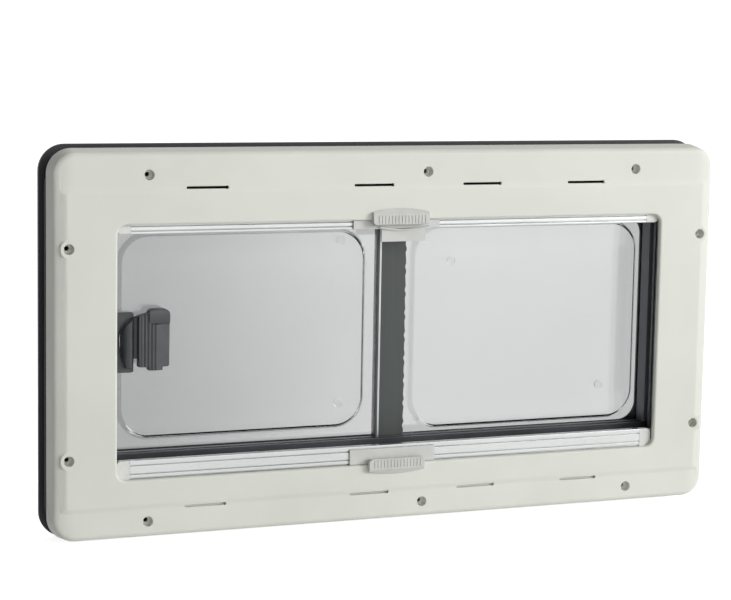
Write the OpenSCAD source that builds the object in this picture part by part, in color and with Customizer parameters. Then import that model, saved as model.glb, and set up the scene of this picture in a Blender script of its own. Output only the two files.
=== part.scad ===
// Two pane sliding caravan window with blinds, seen from the room at -Y
// The origin lies on the wall face of the outer frame's flange, in the middle of its lower run

/* [Wall opening] */
// Width of the cut-out in the caravan wall
cutout_w = 700; // [690:1:760]
// Height of the cut-out in the caravan wall
cutout_h = 350; // [346:1:380]
// Corner radius of the cut-out
cutout_r = 18; // [16:1:24]
// Gap between the cut-out and the outer frame's leg
cutout_gap = 1; // [0.5:0.1:2]
// Thickness of the caravan wall between the two frames
wall_t = 24; // [22:0.5:30]
// Height of both frames' middle over the middle of the cut-out
rise = 3.5; // [0:0.5:5]

/* [Outer frame] */
// Overlap of the flange past the cut-out at the sides
flange_over_x = 10; // [9:0.5:20]
// Overlap of the flange past the cut-out above and below
flange_over_z = 18; // [14:0.5:30]
// Corner radius of the flange
flange_r = 26; // [24:1:36]
// Thickness of the flange
flange_t = 5; // [3:0.5:8]
// Depth of the outer frame outdoors of the wall
frame_out = 11; // [8:0.5:20]
// Thickness of the leg that goes through the wall
leg_t = 12; // [11:0.5:14]
// Distance of the clear glass from the cut-out's edge at the sides
clear_in_x = 50; // [48:1:60]
// Distance of the clear glass from the cut-out's upper edge
clear_in_top = 60; // [58:0.5:66]
// Distance of the clear glass from the cut-out's lower edge
clear_in_low = 67.5; // [64:0.5:74]
// Corner radius of the clear glass
clear_r = 20; // [6:1:24]
// Thickness of the retaining lip outdoors of the fixed pane
retainer_t = 3.4; // [3:0.2:5]
// Width of the seal strip beside the leg
seal_w = 6; // [5:0.5:6.5]
// Depth of the seal strip's seat in the flange
seal_seat = 1; // [0.6:0.1:1.5]
// Height of the seal strip over the flange
seal_proud = 2; // [1.5:0.1:2.1]

/* [Inner frame] */
// Depth of the inner frame from rear rim to raised field
inner_d = 23.5; // [23:0.5:30]
// Overlap of the inner frame past the cut-out at the sides
inner_over_x = 8; // [7:0.5:10]
// Overlap of the inner frame past the cut-out above and below
inner_over_z = 15.5; // [14:0.5:18]
// Corner radius of the inner frame's rear outline
inner_r = 24; // [20:1:28]
// Wall thickness of the moulding
inner_t = 3; // [2.5:0.1:3.5]
// Radius of the moulding's front edge
edge_r = 6; // [5:0.5:7]
// Width of the sloped band at each side
slope_w = 14.5; // [13:0.5:16]
// Fall of the sloped band
slope_d = 5.4; // [4:0.2:6]
// Height of the raised field over the strips above and below it
field_step = 1.4; // [1:0.1:2]
// Distance of the raised field's crease from the cut-out's edge
field_in_z = 21; // [18:0.5:24]
// Slant of the flanks from the front edge to the rear rim
draft = 2.5; // [0:0.1:3.5]
// Distance of the view from the cut-out's edge at the sides
view_in_x = 56.5; // [56:0.5:64]
// Distance of the view from the cut-out's upper edge
view_in_top = 54; // [52:0.5:58]
// Distance of the view from the cut-out's lower edge
view_in_bottom = 48; // [46:0.5:54]
// Corner radius of the view
view_r = 9; // [6:0.5:12]
// Depth of the lip round the view
lip_d = 5; // [4.5:0.5:9]
// Radius of the lip's front edge
lip_r = 2.5; // [1:0.5:2.9]

/* [Screws] */
// Diameter of the counterbore of a screw pocket
pocket_d = 10; // [9:0.1:11]
// Depth of the counterbore below the raised field
pocket_deep = 9.6; // [8:0.2:11]
// Diameter of the screw hole in the pocket's floor
screw_hole_d = 4.5; // [4:0.1:5]
// Thickness of the pocket's floor
pocket_floor = 3; // [2.5:0.1:4]
// Wall of the boss round a pocket
boss_wall = 1.8; // [1.5:0.1:2.2]
// Diameter of the pilot hole in the outer frame's leg
pilot_d = 3.2; // [2.8:0.1:3.6]
// Depth of the pilot hole
pilot_deep = 12; // [8:1:14]
// Distance of the outer screws of a row from the cut-out's edge
row_screw_in = 87.5; // [80:0.5:95]
// Place of the middle screw to the right of centre
mid_screw_x = 27; // [20:1:40]
// Distance of a side's screws from the cut-out's upper and lower edge
side_screw_in = 73; // [65:0.5:80]
// Height of the side screws' middle under the middle of the cut-out
side_drop = 2.5; // [0:0.5:5]
// Distance of the row screws from the cut-out's edge
row_inset = 6; // [5:0.5:7]
// Distance of the side screws from the cut-out's edge
side_inset = 9; // [7:0.5:9.5]

/* [Vent slots] */
// Length of a vent slot
slot_l = 41; // [30:1:46]
// Height of a vent slot
slot_h = 2; // [1.6:0.1:2.6]
// Diameter of the keyhole at a slot's right end
slot_eye_d = 3.4; // [3:0.1:4]
// Distance of the first slot's middle from the cut-out's left edge
slot_in_1 = 145; // [135:1:155]
// Place of the second slot's middle to the right of centre
slot_x2 = -32; // [-40:1:-20]
// Place of the third slot's middle to the right of centre
slot_x3 = 86; // [80:1:95]
// Distance of the fourth slot's middle from the cut-out's right edge
slot_in_4 = 146; // [135:1:155]
// Height of a slot's middle over the crease
slot_over = 2.3; // [1.8:0.1:4]

/* [Panes] */
// Thickness of one acrylic skin
skin_t = 2.4; // [2:0.1:2.6]
// Height of the formed field over the pane's rim
bulge_d = 5; // [4:0.2:5.4]
// Distance between the two panes, from rim to rim
pane_pitch = 12; // [11.6:0.1:12.4]
// Distance of the sliding pane's field from the clear glass's left edge
slide_in_l = 17; // [14:0.5:24]
// Distance of the sliding pane's field from the pane's free edge
slide_in_r = 18; // [16:0.5:28]
// Distance of the sliding pane's field from the upper edge of the clear glass
slide_in_top = 7; // [5.5:0.5:14]
// Distance of the sliding pane's field from the lower edge of the clear glass
slide_in_bottom = 12; // [5.5:0.5:16]
// Distance of the fixed pane's field from the meeting post
fixed_in_l = 8.5; // [6:0.5:16]
// Distance of the fixed pane's field from the clear glass's right edge
fixed_in_r = 9; // [6:0.5:18]
// Distance of the fixed pane's field from the upper edge of the clear glass
fixed_in_top = 5.5; // [5.5:0.5:14]
// Distance of the fixed pane's field from the lower edge of the clear glass
fixed_in_bottom = 5.5; // [5.5:0.5:14]
// Corner radius of the formed field
bulge_r = 27; // [20:1:35]
// Bite of a pane in its track and jamb
pane_bite = 9; // [7:0.5:10]
// Running clearance of the sliding pane in its track
run_gap = 0.5; // [0.3:0.1:0.8]
// Diameter of a plug
plug_d = 9; // [7:0.5:11]
// Height of a plug over the formed field
plug_t = 1.5; // [1:0.1:2]
// Distance of the sliding pane's plugs from its field's right edge
plug_slide_in = 28.5; // [20:1:40]
// Distance of the sliding pane's upper plug from its field's upper edge
plug_slide_top = 9.8; // [9.6:0.1:30]
// Distance of the sliding pane's lower plug from its field's lower edge
plug_slide_bottom = 27.5; // [12:0.5:40]
// Distance of the fixed pane's plugs from its field's sides
plug_fixed_in = 41.5; // [20:1:60]
// Distance of the fixed pane's plugs from its field's upper and lower edge
plug_fixed_z = 36.5; // [20:1:50]

/* [Meeting post] */
// Width of the dark meeting post
post_w = 35; // [32:1:38]
// Place of the post's middle to the right of centre
post_x = 5.5; // [4:0.5:7]
// Lap of the sliding pane over the meeting post
pane_lap = 4; // [3:0.5:8]
// Reach of the fixed pane into the meeting post
post_bite = 14; // [10:0.5:20]
// Width of the sliding pane's edge stile
stile_w = 4; // [4:0.5:6]
// Thickness of the sliding pane's edge stile
stile_t = 2; // [1.5:0.1:2.5]
// Height of the brush between the sliding pane and the post
brush_h = 0.8; // [0.6:0.1:0.8]
// Width of the brush
brush_w = 4; // [3:0.5:6]

/* [Blinds] */
// Height of a blind's end bar
bar_h = 21; // [20:0.5:22]
// Depth of a blind's end bar
bar_d = 7; // [6:0.5:8]
// Height of the bottom bar that shows over the lip
bottom_bar_shown = 18.5; // [17:0.5:20]
// Height of the top bar that shows below the lip
top_bar_shown = 9; // [8:0.5:12]
// Length of an end cap
cap_l = 14; // [10:0.5:18]
// Outer diameter of a retracted blind
roll_d = 16; // [14:0.5:16.5]
// Diameter of a roll's spigot
spigot_d = 6; // [5:0.5:7]
// Place of the grips to the right of centre
grip_x = -3.5; // [-15:1:15]
// Width of the grip pad in the middle of a bar
grip_w = 60; // [50:1:70]
// Height of the grip pad
grip_h = 16.5; // [15:0.5:19]
// Thickness of the grip pad
grip_t = 5; // [4:0.5:6]
// Number of ribs on a grip pad
grip_ribs = 15; // [9:1:19]
// Place of the clips to the right of centre
clip_x = -5.5; // [-12:0.5:8]
// Width of the clip that carries the grip on its bar
clip_w = 93; // [80:1:110]
// Thickness of the clip in front of its bar
clip_t = 2.5; // [2:0.1:3]
// Place of the top clip's tab to the right of centre
tab_x = 2; // [-8:0.5:8]
// Width of the tab that hangs from the top clip
tab_w = 48; // [36:1:50]
// Length of the tab below the top bar
tab_l = 13; // [8:0.5:16]

/* [Latch] */
// Height of the latch base
latch_h = 59; // [54:1:66]
// Width of the latch base
latch_w = 22.5; // [20:0.5:26]
// Width of the round hub of the lever
hub_w = 19.5; // [18:0.5:22]
// Width of the ridged body of the lever
body_w = 17.5; // [15:0.5:20]
// Width of the finger panel of the lever
panel_w = 13.5; // [11:0.5:16]
// Height of the finger panel
panel_h = 42.5; // [36:0.5:46]
// Height of the lever's body
body_h = 49.5; // [44:0.5:52]
// Diameter of the latch pin
latch_pin_d = 5; // [4:0.5:6]
// Height of the keeper on the jamb
keeper_h = 28; // [20:1:40]
// Width of the keeper on the jamb
keeper_w = 12; // [10:0.5:16]

/* [Hidden] */
$fn = 48;

// Shared fits and clearances
eps = 0.01;
seat = 0.3;
brush_gap = 0.1;

// Frame sizes
flange_w = cutout_w + 2 * flange_over_x;
flange_h = cutout_h + 2 * flange_over_z;
inner_w = cutout_w + 2 * inner_over_x;
inner_h = cutout_h + 2 * inner_over_z;
field_h = cutout_h - 2 * field_in_z;
view_w = cutout_w - 2 * view_in_x;
view_h = cutout_h - view_in_top - view_in_bottom;
view_top = cutout_h / 2 - view_in_top;
view_low = -cutout_h / 2 + view_in_bottom;
view_z = (view_top + view_low) / 2;
clear_w = cutout_w - 2 * clear_in_x;
clear_h = cutout_h - clear_in_top - clear_in_low;
glass_z = (clear_in_low - clear_in_top) / 2;
leg_w = cutout_w - 2 * cutout_gap;
leg_h = cutout_h - 2 * cutout_gap;
leg_r = cutout_r - cutout_gap;
rim_y = -wall_t;
front_y = rim_y - inner_d;
strip_y = front_y + field_step;
field_w = inner_w - 2 * slope_w;
seal_x = leg_w / 2 + seal_w;
seal_z = leg_h / 2 + seal_w;
window_z = (seal_z + flange_h / 2 - rise) / 2;

// Screw places, common to the inner frame's pockets and the outer frame's pilot holes
screw_x = cutout_w / 2 - side_inset;
screw_z = cutout_h / 2 - row_inset;
row_w = cutout_w - 2 * row_screw_in;
side_h = cutout_h - 2 * side_screw_in;
boss_d = pocket_d + 2 * boss_wall;
boss_rear_y = front_y + pocket_deep + pocket_floor;
leg_front_y = boss_rear_y + seat;
row_x = [-row_w / 2, mid_screw_x, row_w / 2];
screws = concat(
    [for (x = row_x, s = [-1, 1]) [x, s * screw_z]],
    [for (s = [-1, 1], q = [-1, 1]) [s * screw_x, q * side_h / 2 - side_drop]]);
slot_x = [-cutout_w / 2 + slot_in_1, slot_x2, slot_x3, cutout_w / 2 - slot_in_4];

// Channel that holds the tracks and jambs inside the outer frame
channel_w = clear_w + 4 * pane_bite;
channel_h = clear_h + 4 * pane_bite;
channel_y1 = frame_out - retainer_t;

// Pane stack, from the room outwards
rim_t = 2 * skin_t;
fixed_y = channel_y1 - 2 * seat - rim_t;
slide_y = fixed_y - pane_pitch;
track_wall = 4;
channel_y0 = slide_y - run_gap - track_wall - seat;
pane_h = clear_h + 2 * pane_bite;
slide_x0 = -clear_w / 2 - pane_bite;
slide_x1 = post_x - post_w / 2 + pane_lap;
fixed_x0 = post_x + post_w / 2 - post_bite;
fixed_x1 = clear_w / 2 + pane_bite;

// Formed fields as left, right, lower and upper edge
slide_field = [-clear_w / 2 + slide_in_l, slide_x1 - slide_in_r, -clear_h / 2 + slide_in_bottom,
    clear_h / 2 - slide_in_top];
fixed_field = [post_x + post_w / 2 + fixed_in_l, clear_w / 2 - fixed_in_r, -clear_h / 2 + fixed_in_bottom,
    clear_h / 2 - fixed_in_top];

// Blind parts
guide_y0 = front_y + lip_d + seat;
bar_y0 = guide_y0 + 0.2;
bar_y1 = bar_y0 + bar_d;
bottom_bar_z = view_low + bottom_bar_shown - bar_h / 2;
top_bar_z = view_top - top_bar_shown + bar_h / 2;
bar_l = view_w - 2 * cap_l;
bar_grooves = [5.5, 14, 18.5];
bar_r = 1.5;
cap_r = 5;
groove_d = 0.8;
groove_w = 0.9;
roll_gap = 1;
top_roll_z = top_bar_z + bar_h / 2 + roll_gap + roll_d / 2;
bottom_roll_z = bottom_bar_z - bar_h / 2 - roll_gap - roll_d / 2;
roll_y = front_y + inner_t + roll_gap + roll_d / 2;
bracket_t = 4;
bracket_gap = 1.5;
bracket_r = 7;
roll_end = 4.5;
roll_l = view_w - 2 * (bracket_t + bracket_gap + roll_end);
bracket_x = roll_l / 2 + bracket_gap;
guide_w = 10;
guide_back = 2;
guide_x = view_w / 2 + seat;
tongue_t = 2.4;
tongue_l = 7;
neck_t = 4;
neck_in = 8;
pad_low = 4.5;
bottom_pad_up = 6.5;
clip_under = 3;

// Latch parts
foot_w = 11;
latch_x = slide_field[0] - foot_w - seat;
latch_z = 4.4;
latch_face_y = slide_y - bulge_d - seat;
base_t = 4;
base_r = 3;
ear_t = 4;
ear_r = 5;
lever_gap = 1;
lever_t = 11;
pin_up = 4.5;
lever_y1 = latch_face_y - base_t - lever_gap;
lever_y0 = lever_y1 - lever_t;
hub_x0 = latch_x + 6.5;
body_x0 = hub_x0 + hub_w;
panel_x0 = body_x0 + body_w;
panel_x1 = panel_x0 + panel_w;
panel_t = 2.6;
hub_r = 32;
body_low = -24.5;
pin_y = lever_y1 - pin_up;
pin_x = hub_x0 + 10.5;

// Rounded rectangle about the origin
module rounded(w, h, r) {
    square([w - 2 * r, h], center = true);
    square([w, h - 2 * r], center = true);
    for (x = [-1, 1], y = [-1, 1])
        translate([x * (w / 2 - r), y * (h / 2 - r)]) circle(r);
}

// Outline in the window plane, extruded from y0 outdoors to y1
module slab(y0, y1) {
    translate([0, y1, 0]) rotate([90, 0, 0]) linear_extrude(y1 - y0) children();
}

// Outline in the Y-Z plane, extruded from x0 to x1
module run(x0, x1) {
    translate([x0, 0, 0]) rotate([90, 0, 90]) linear_extrude(x1 - x0) children();
}

// Outline in the X-Y plane, extruded from z0 to z1
module post(z0, z1) {
    translate([0, 0, z0]) linear_extrude(z1 - z0) children();
}

// Rod along Y
module rod(d, y0, y1) {
    slab(y0, y1) circle(d = d);
}

// Profile carried round a rounded rectangle: X of the profile points outwards, Y outdoors
module swept(w, h, r) {
    rotate([-90, 0, 0]) {
        for (k = [0:3]) {
            side = [[1, 1], [-1, 1], [-1, -1], [1, -1]][k];
            translate([side[0] * (w / 2 - r), side[1] * (h / 2 - r), 0]) rotate([0, 0, 90 * k])
                rotate_extrude(angle = 90) children();
        }
        for (a = [0, 180]) {
            rotate([0, 0, a]) translate([w / 2 - r, h / 2 - r, 0])
                rotate([90, 0, 0]) linear_extrude(h - 2 * r) children();
            rotate([0, 0, a + 90]) translate([h / 2 - r, w / 2 - r, 0])
                rotate([90, 0, 0]) linear_extrude(w - 2 * r) children();
        }
    }
}

// Everything is drawn about the middle of the window, then raised over the origin
module placed() {
    translate([0, 0, window_z]) children();
}

// The panes and what holds them are drawn about the middle of the clear glass
module glazed() {
    placed() translate([0, 0, glass_z]) children();
}

// Solid form of the inner frame, with a skin of thickness t taken off
module inner_form(t) {
    core_h = inner_h - 2 * inner_r;
    difference() {
        union() {
            translate([0, 0, rise]) {
                slab(strip_y + t, rim_y) square([inner_w - 2 * inner_r, core_h], center = true);
                swept(inner_w, inner_h, inner_r) edge_profile(t);
            }
            slab(front_y + t, strip_y + edge_r) square([field_w, field_h - 2 * t], center = true);
        }
        for (s = [0, 1]) mirror([s, 0, 0]) slope_cut(t);
    }
}

// Slanted flank of the inner frame with its rounded front edge
module edge_profile(t) {
    front_x = inner_r - draft;
    polygon([[0, strip_y + edge_r], [front_x - t, strip_y + edge_r], [inner_r - t, rim_y], [0, rim_y]]);
    translate([0, strip_y + t]) square([front_x - edge_r, edge_r - t + eps]);
    translate([front_x - edge_r, strip_y + edge_r]) circle(edge_r - t);
}

// Wedge that slopes the right side of the front
module slope_cut(t) {
    over = 3;
    run_x = slope_w + over;
    post(rise - inner_h / 2 - 1, rise + inner_h / 2 + 1) polygon([
        [field_w / 2, front_y + t],
        [field_w / 2 + run_x, front_y + t + slope_d * run_x / slope_w],
        [field_w / 2 + run_x, front_y - over],
        [field_w / 2, front_y - over]]);
}

module inner_frame() {
    color("#dcdccc") placed() difference() {
        union() {
            difference() {
                inner_form(0);
                inner_form(inner_t);
            }
            translate([0, 0, view_z]) slab(front_y, front_y + lip_d)
                rounded(view_w + 2 * inner_t, view_h + 2 * inner_t, view_r + inner_t);
            intersection() {
                inner_form(0);
                for (p = screws) translate([p[0], 0, p[1]]) rod(boss_d, front_y - 1, boss_rear_y);
            }
        }
        translate([0, 0, view_z]) {
            slab(front_y - 1, rim_y + 1) rounded(view_w, view_h, view_r);
            swept(view_w + 2 * lip_r, view_h + 2 * lip_r, view_r + lip_r) lip_rounding();
        }
        for (p = screws) translate([p[0], 0, p[1]]) {
            rod(pocket_d, front_y - 1, front_y + pocket_deep);
            rod(screw_hole_d, front_y, boss_rear_y + 1);
        }
        for (x = slot_x, s = [-1, 1]) translate([x, 0, s * (field_h / 2 + slot_over)]) vent_slot();
    }
}

// What the rounded front edge of the lip takes off
module lip_rounding() {
    difference() {
        translate([view_r - eps, front_y - eps]) square([lip_r + eps, lip_r + eps]);
        translate([view_r + lip_r, front_y + lip_r]) circle(lip_r);
    }
}

module vent_slot() {
    slab(front_y - 1, strip_y + inner_t + 1) {
        square([slot_l, slot_h], center = true);
        translate([slot_l / 2, 0]) circle(d = slot_eye_d);
    }
}

module outer_frame() {
    color("#16161a") placed() difference() {
        union() {
            difference() {
                translate([0, 0, rise]) slab(0, flange_t) rounded(flange_w, flange_h, flange_r);
                slab(-1, seal_seat) rounded(2 * seal_x, 2 * seal_z, leg_r + seal_w);
            }
            slab(leg_front_y, frame_out) rounded(leg_w, leg_h, leg_r);
        }
        slab(leg_front_y - 1, channel_y0)
            rounded(leg_w - 2 * leg_t, leg_h - 2 * leg_t, leg_r - leg_t + seat);
        translate([0, 0, glass_z]) {
            slab(channel_y0 - 1, channel_y1) square([channel_w, channel_h], center = true);
            slab(channel_y1 - 1, frame_out + 1) rounded(clear_w, clear_h, clear_r);
        }
        for (p = screws) translate([p[0], 0, p[1]])
            rod(pilot_d, leg_front_y - 1, leg_front_y + pilot_deep);
    }
}

// Seal strip in its seat beside the leg
module wall_seal() {
    color("#0c0c0e") placed() difference() {
        slab(-seal_proud, seal_seat) rounded(2 * seal_x, 2 * seal_z, leg_r + seal_w);
        slab(-seal_proud - 1, seal_seat + 1) rounded(leg_w, leg_h, leg_r);
    }
}

// Track section: two grooves that open towards the glass, which lies at -Z of it
module track_section() {
    z0 = clear_h / 2;
    difference() {
        translate([channel_y0 + seat, z0]) square([channel_y1 - channel_y0 - 2 * seat, 2 * pane_bite - seat]);
        translate([slide_y - run_gap, z0 - 1]) square([rim_t + 2 * run_gap, pane_bite + 2]);
        translate([fixed_y - seat, z0 - 1]) square([rim_t + 2 * seat, pane_bite + 2]);
    }
}

module top_track() {
    color("#1b1b1e") glazed() run(-channel_w / 2 + seat, channel_w / 2 - seat) track_section();
}

module bottom_track() {
    color("#1b1b1e") glazed() mirror([0, 0, 1]) run(-channel_w / 2 + seat, channel_w / 2 - seat) track_section();
}

// Jamb section at the right, with one groove for the pane whose rim starts at y
module jamb_section(y, gap) {
    x0 = clear_w / 2;
    difference() {
        translate([x0, channel_y0 + seat]) square([2 * pane_bite - seat, channel_y1 - channel_y0 - 2 * seat]);
        translate([x0 - 1, y - gap]) square([pane_bite + 2, rim_t + 2 * gap]);
    }
}

module left_jamb() {
    color("#1b1b1e") glazed() mirror([1, 0, 0])
        post(-clear_h / 2 + seat, clear_h / 2 - seat) jamb_section(slide_y, run_gap);
}

module right_jamb() {
    color("#1b1b1e") glazed()
        post(-clear_h / 2 + seat, clear_h / 2 - seat) jamb_section(fixed_y, seat);
}

// Skin with a formed field that stands bulge_d towards the room
module formed_skin(x0, x1, field, y) {
    fw = field[1] - field[0];
    fh = field[3] - field[2];
    mid = [(field[0] + field[1]) / 2, 0, (field[2] + field[3]) / 2];
    difference() {
        translate([(x0 + x1) / 2, 0, 0]) slab(y, y + skin_t) square([x1 - x0, pane_h], center = true);
        translate(mid) slab(y - 1, y + skin_t + 1)
            rounded(fw - 2 * skin_t, fh - 2 * skin_t, bulge_r - skin_t);
    }
    translate(mid) {
        swept(fw, fh, bulge_r) translate([bulge_r - bulge_d, y]) difference() {
            intersection() {
                circle(bulge_d);
                translate([0, -bulge_d]) square(bulge_d);
            }
            circle(bulge_d - skin_t);
        }
        slab(y - bulge_d, y - bulge_d + skin_t)
            rounded(fw - 2 * bulge_d + eps, fh - 2 * bulge_d + eps, bulge_r - bulge_d);
    }
}

module flat_skin(x0, x1, y) {
    translate([(x0 + x1) / 2, 0, 0]) slab(y + skin_t, y + rim_t) square([x1 - x0, pane_h], center = true);
}

module sliding_pane_inner() {
    color([0.75, 0.78, 0.78, 0.5]) glazed() formed_skin(slide_x0, slide_x1, slide_field, slide_y);
}

module sliding_pane_outer() {
    color([0.75, 0.78, 0.78, 0.5]) glazed() flat_skin(slide_x0, slide_x1, slide_y);
}

module fixed_pane_inner() {
    color([0.75, 0.78, 0.78, 0.5]) glazed() formed_skin(fixed_x0, fixed_x1, fixed_field, fixed_y);
}

module fixed_pane_outer() {
    color([0.75, 0.78, 0.78, 0.5]) glazed() flat_skin(fixed_x0, fixed_x1, fixed_y);
}

module plug(x, z, y) {
    translate([x, 0, z]) rod(plug_d, y - bulge_d - plug_t, y - bulge_d);
}

module sliding_pane_plugs() {
    x = slide_field[1] - plug_slide_in;
    color([0.8, 0.82, 0.82, 0.7]) glazed() {
        plug(x, slide_field[3] - plug_slide_top, slide_y);
        plug(x, slide_field[2] + plug_slide_bottom, slide_y);
    }
}

module fixed_pane_plugs() {
    color([0.8, 0.82, 0.82, 0.7]) glazed() {
        plug(fixed_field[0] + plug_fixed_in, fixed_field[3] - plug_fixed_z, fixed_y);
        plug(fixed_field[1] - plug_fixed_in, fixed_field[2] + plug_fixed_z, fixed_y);
    }
}

// Edge strip on the sliding pane, on the room side of its rim
module sliding_pane_stile() {
    color("#9a9c9c") glazed() post(-clear_h / 2 + seat, clear_h / 2 - seat)
        translate([slide_x1 - stile_w, slide_y - stile_t]) square([stile_w, stile_t]);
}

// Post that closes the fixed pane's free edge
module meeting_post() {
    x0 = post_x - post_w / 2;
    y0 = slide_y + rim_t + brush_h + 2 * brush_gap;
    color("#3a3f3f") glazed() post(-clear_h / 2 + seat, clear_h / 2 - seat) difference() {
        translate([x0, y0]) square([post_w, channel_y1 - seat - y0]);
        translate([fixed_x0 - seat, fixed_y - seat]) square([post_w, rim_t + 2 * seat]);
    }
}

module meeting_brush() {
    x0 = post_x - post_w / 2;
    y0 = slide_y + rim_t + brush_gap;
    color("#b8b8b4") glazed() post(-clear_h / 2 + seat, clear_h / 2 - seat)
        translate([x0, y0]) square([brush_w, brush_h]);
}

// Latch base: a plate on the formed field with a foot down to the pane's rim and two ears for the pin
module latch_base() {
    color("#333639") placed() translate([0, 0, latch_z]) difference() {
        union() {
            translate([latch_x + latch_w / 2, 0, 0]) slab(latch_face_y - base_t, latch_face_y)
                rounded(latch_w, latch_h, base_r);
            translate([latch_x, latch_face_y - eps, base_r - latch_h / 2])
                cube([foot_w, slide_y - seat - latch_face_y + eps, latch_h - 2 * base_r]);
            for (s = [-1, 1]) translate([pin_x, pin_y, s * (latch_h / 2 - ear_t / 2)]) {
                cylinder(h = ear_t, r = ear_r, center = true);
                translate([-ear_r, 0, -ear_t / 2]) cube([2 * ear_r, latch_face_y - base_t / 2 - pin_y, ear_t]);
            }
        }
        translate([pin_x, pin_y, 0]) cylinder(h = latch_h + 2, d = latch_pin_d, center = true);
    }
}

// Latch lever: a round hub on the pin, a ridged body, a finger panel and a curl at its upper end
module latch_lever() {
    color("#2a2d30") placed() translate([0, 0, latch_z]) difference() {
        union() {
            lever_hub();
            lever_body();
            lever_panel();
        }
        translate([pin_x, pin_y, 0]) cylinder(h = latch_h + 2, d = latch_pin_d + seat, center = true);
    }
}

// Half-round hub, barrelled about the pin
module lever_hub() {
    hub_h = latch_h - 2 * (ear_t + seat);
    intersection() {
        translate([hub_x0 + hub_r, 0, 0]) slab(lever_y0, lever_y1) circle(hub_r, $fn = 180);
        translate([hub_x0, lever_y0, -hub_h / 2]) cube([hub_w + 1, lever_t, hub_h]);
        post(-latch_h / 2, latch_h / 2) {
            translate([pin_x, pin_y]) circle(ear_r);
            polygon([
                [hub_x0, lever_y1 - 3],
                [hub_x0, lever_y1],
                [body_x0 + 1, lever_y1],
                [body_x0 + 1, lever_y0 + 3],
                [pin_x, pin_y - ear_r + 1]]);
        }
    }
}

// Body with upright ridges and a sloping upper end
module lever_body() {
    ridge_w = 1.4;
    ridge_d = 1.2;
    ridge_pitch = 4.2;
    ridge_in = 2.6;
    slope_up = 3.5;
    difference() {
        slab(lever_y0, lever_y1) polygon([
            [body_x0, body_low],
            [panel_x0, body_low],
            [panel_x0, body_low + body_h + slope_up],
            [body_x0, body_low + body_h]]);
        for (k = [0:3])
            translate([body_x0 + ridge_in + ridge_pitch * k, lever_y0 - 1, body_low - 1])
                cube([ridge_w, 1 + ridge_d, body_h + slope_up]);
    }
}

// Thin finger panel that stands clear of the pane, with its curl above and a small toe below
module lever_panel() {
    curl_h = 15;
    curl_w = 20;
    curl_t = 8;
    toe_h = 4.3;
    toe_w = 14.5;
    lap = 0.5;
    translate([0, 0, body_low]) {
        post(0, panel_h) polygon([
            [panel_x0 - lap, lever_y0 + 1],
            [panel_x1 - 2, lever_y0 + 1.6],
            [panel_x1, lever_y0 + 2.6],
            [panel_x1, lever_y0 + 1.6 + panel_t],
            [panel_x0 - lap, lever_y0 + 1 + panel_t]]);
        translate([panel_x1 - curl_w / 2, 0, panel_h + curl_h / 2 - lap])
            slab(lever_y0 - 0.4, lever_y0 + curl_t) rounded(curl_w, curl_h, 7);
        translate([panel_x0 - toe_w / 2, lever_y0 + 2, -toe_h]) cube([toe_w, 5, toe_h + lap]);
    }
}

module latch_pin() {
    color("#8c8f90") placed() translate([pin_x, pin_y, latch_z])
        cylinder(h = latch_h + 1, d = latch_pin_d - eps, center = true);
}

// Keeper on the left jamb, which the latch nose hooks behind
module latch_keeper() {
    edge = -clear_w / 2;
    hook = 2.5;
    y1 = channel_y0 + seat;
    color("#333639") placed() translate([0, 0, latch_z]) post(-keeper_h / 2, keeper_h / 2) polygon([
        [edge - keeper_w, y1],
        [edge - 1, y1],
        [edge - 1, y1 - hook],
        [edge + hook, y1 - hook],
        [edge + hook, y1 - 2 * hook],
        [edge - keeper_w, y1 - 2 * hook]]);
}

// Retracted blind at height z, with a short tail towards its bar at bar_edge
module blind_roll(z, bar_edge) {
    s = sign(z);
    cloth_t = 0.8;
    placed_roll(z) {
        cylinder(h = roll_l, d = roll_d, center = true);
        cylinder(h = roll_l + 2 * (bracket_t + bracket_gap), d = spigot_d, center = true);
    }
    tail = abs(z) - abs(bar_edge) - seat;
    translate([-roll_l / 2, roll_y - cloth_t / 2, s > 0 ? z - tail : z]) cube([roll_l, cloth_t, tail]);
}

module placed_roll(z) {
    translate([0, roll_y, z]) rotate([0, 90, 0]) children();
}

module top_blind_roll() {
    color("#6b6f70") placed() blind_roll(top_roll_z, top_bar_z + bar_h / 2);
}

module bottom_blind_roll() {
    color("#b9a98a") placed() blind_roll(bottom_roll_z, bottom_bar_z - bar_h / 2);
}

// End plates that carry a roll, standing on the inner frame's skin
module roll_brackets(z) {
    y0 = front_y + inner_t + seat;
    for (side = [0, 1]) mirror([side, 0, 0]) difference() {
        run(bracket_x, bracket_x + bracket_t) {
            translate([y0, z - bracket_r]) square([roll_y - y0, 2 * bracket_r]);
            translate([roll_y, z]) circle(bracket_r);
        }
        placed_roll(z) cylinder(h = 2 * view_w, d = spigot_d + 2 * seat, center = true);
    }
}

module top_roll_brackets() {
    color("#d0d0c4") placed() roll_brackets(top_roll_z);
}

module bottom_roll_brackets() {
    color("#d0d0c4") placed() roll_brackets(bottom_roll_z);
}

// Aluminium end bar with grooves along its room face
module blind_bar(z) {
    run(-bar_l / 2, bar_l / 2) difference() {
        translate([(bar_y0 + bar_y1) / 2, z]) rounded(bar_d, bar_h, bar_r);
        for (g = bar_grooves) translate([bar_y0 - 1, z + bar_h / 2 - g]) square([1 + groove_d, groove_w]);
    }
}

module top_blind_bar() {
    color("#d8d9da") placed() blind_bar(top_bar_z);
}

module bottom_blind_bar() {
    color("#d8d9da") placed() blind_bar(bottom_bar_z);
}

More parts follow.
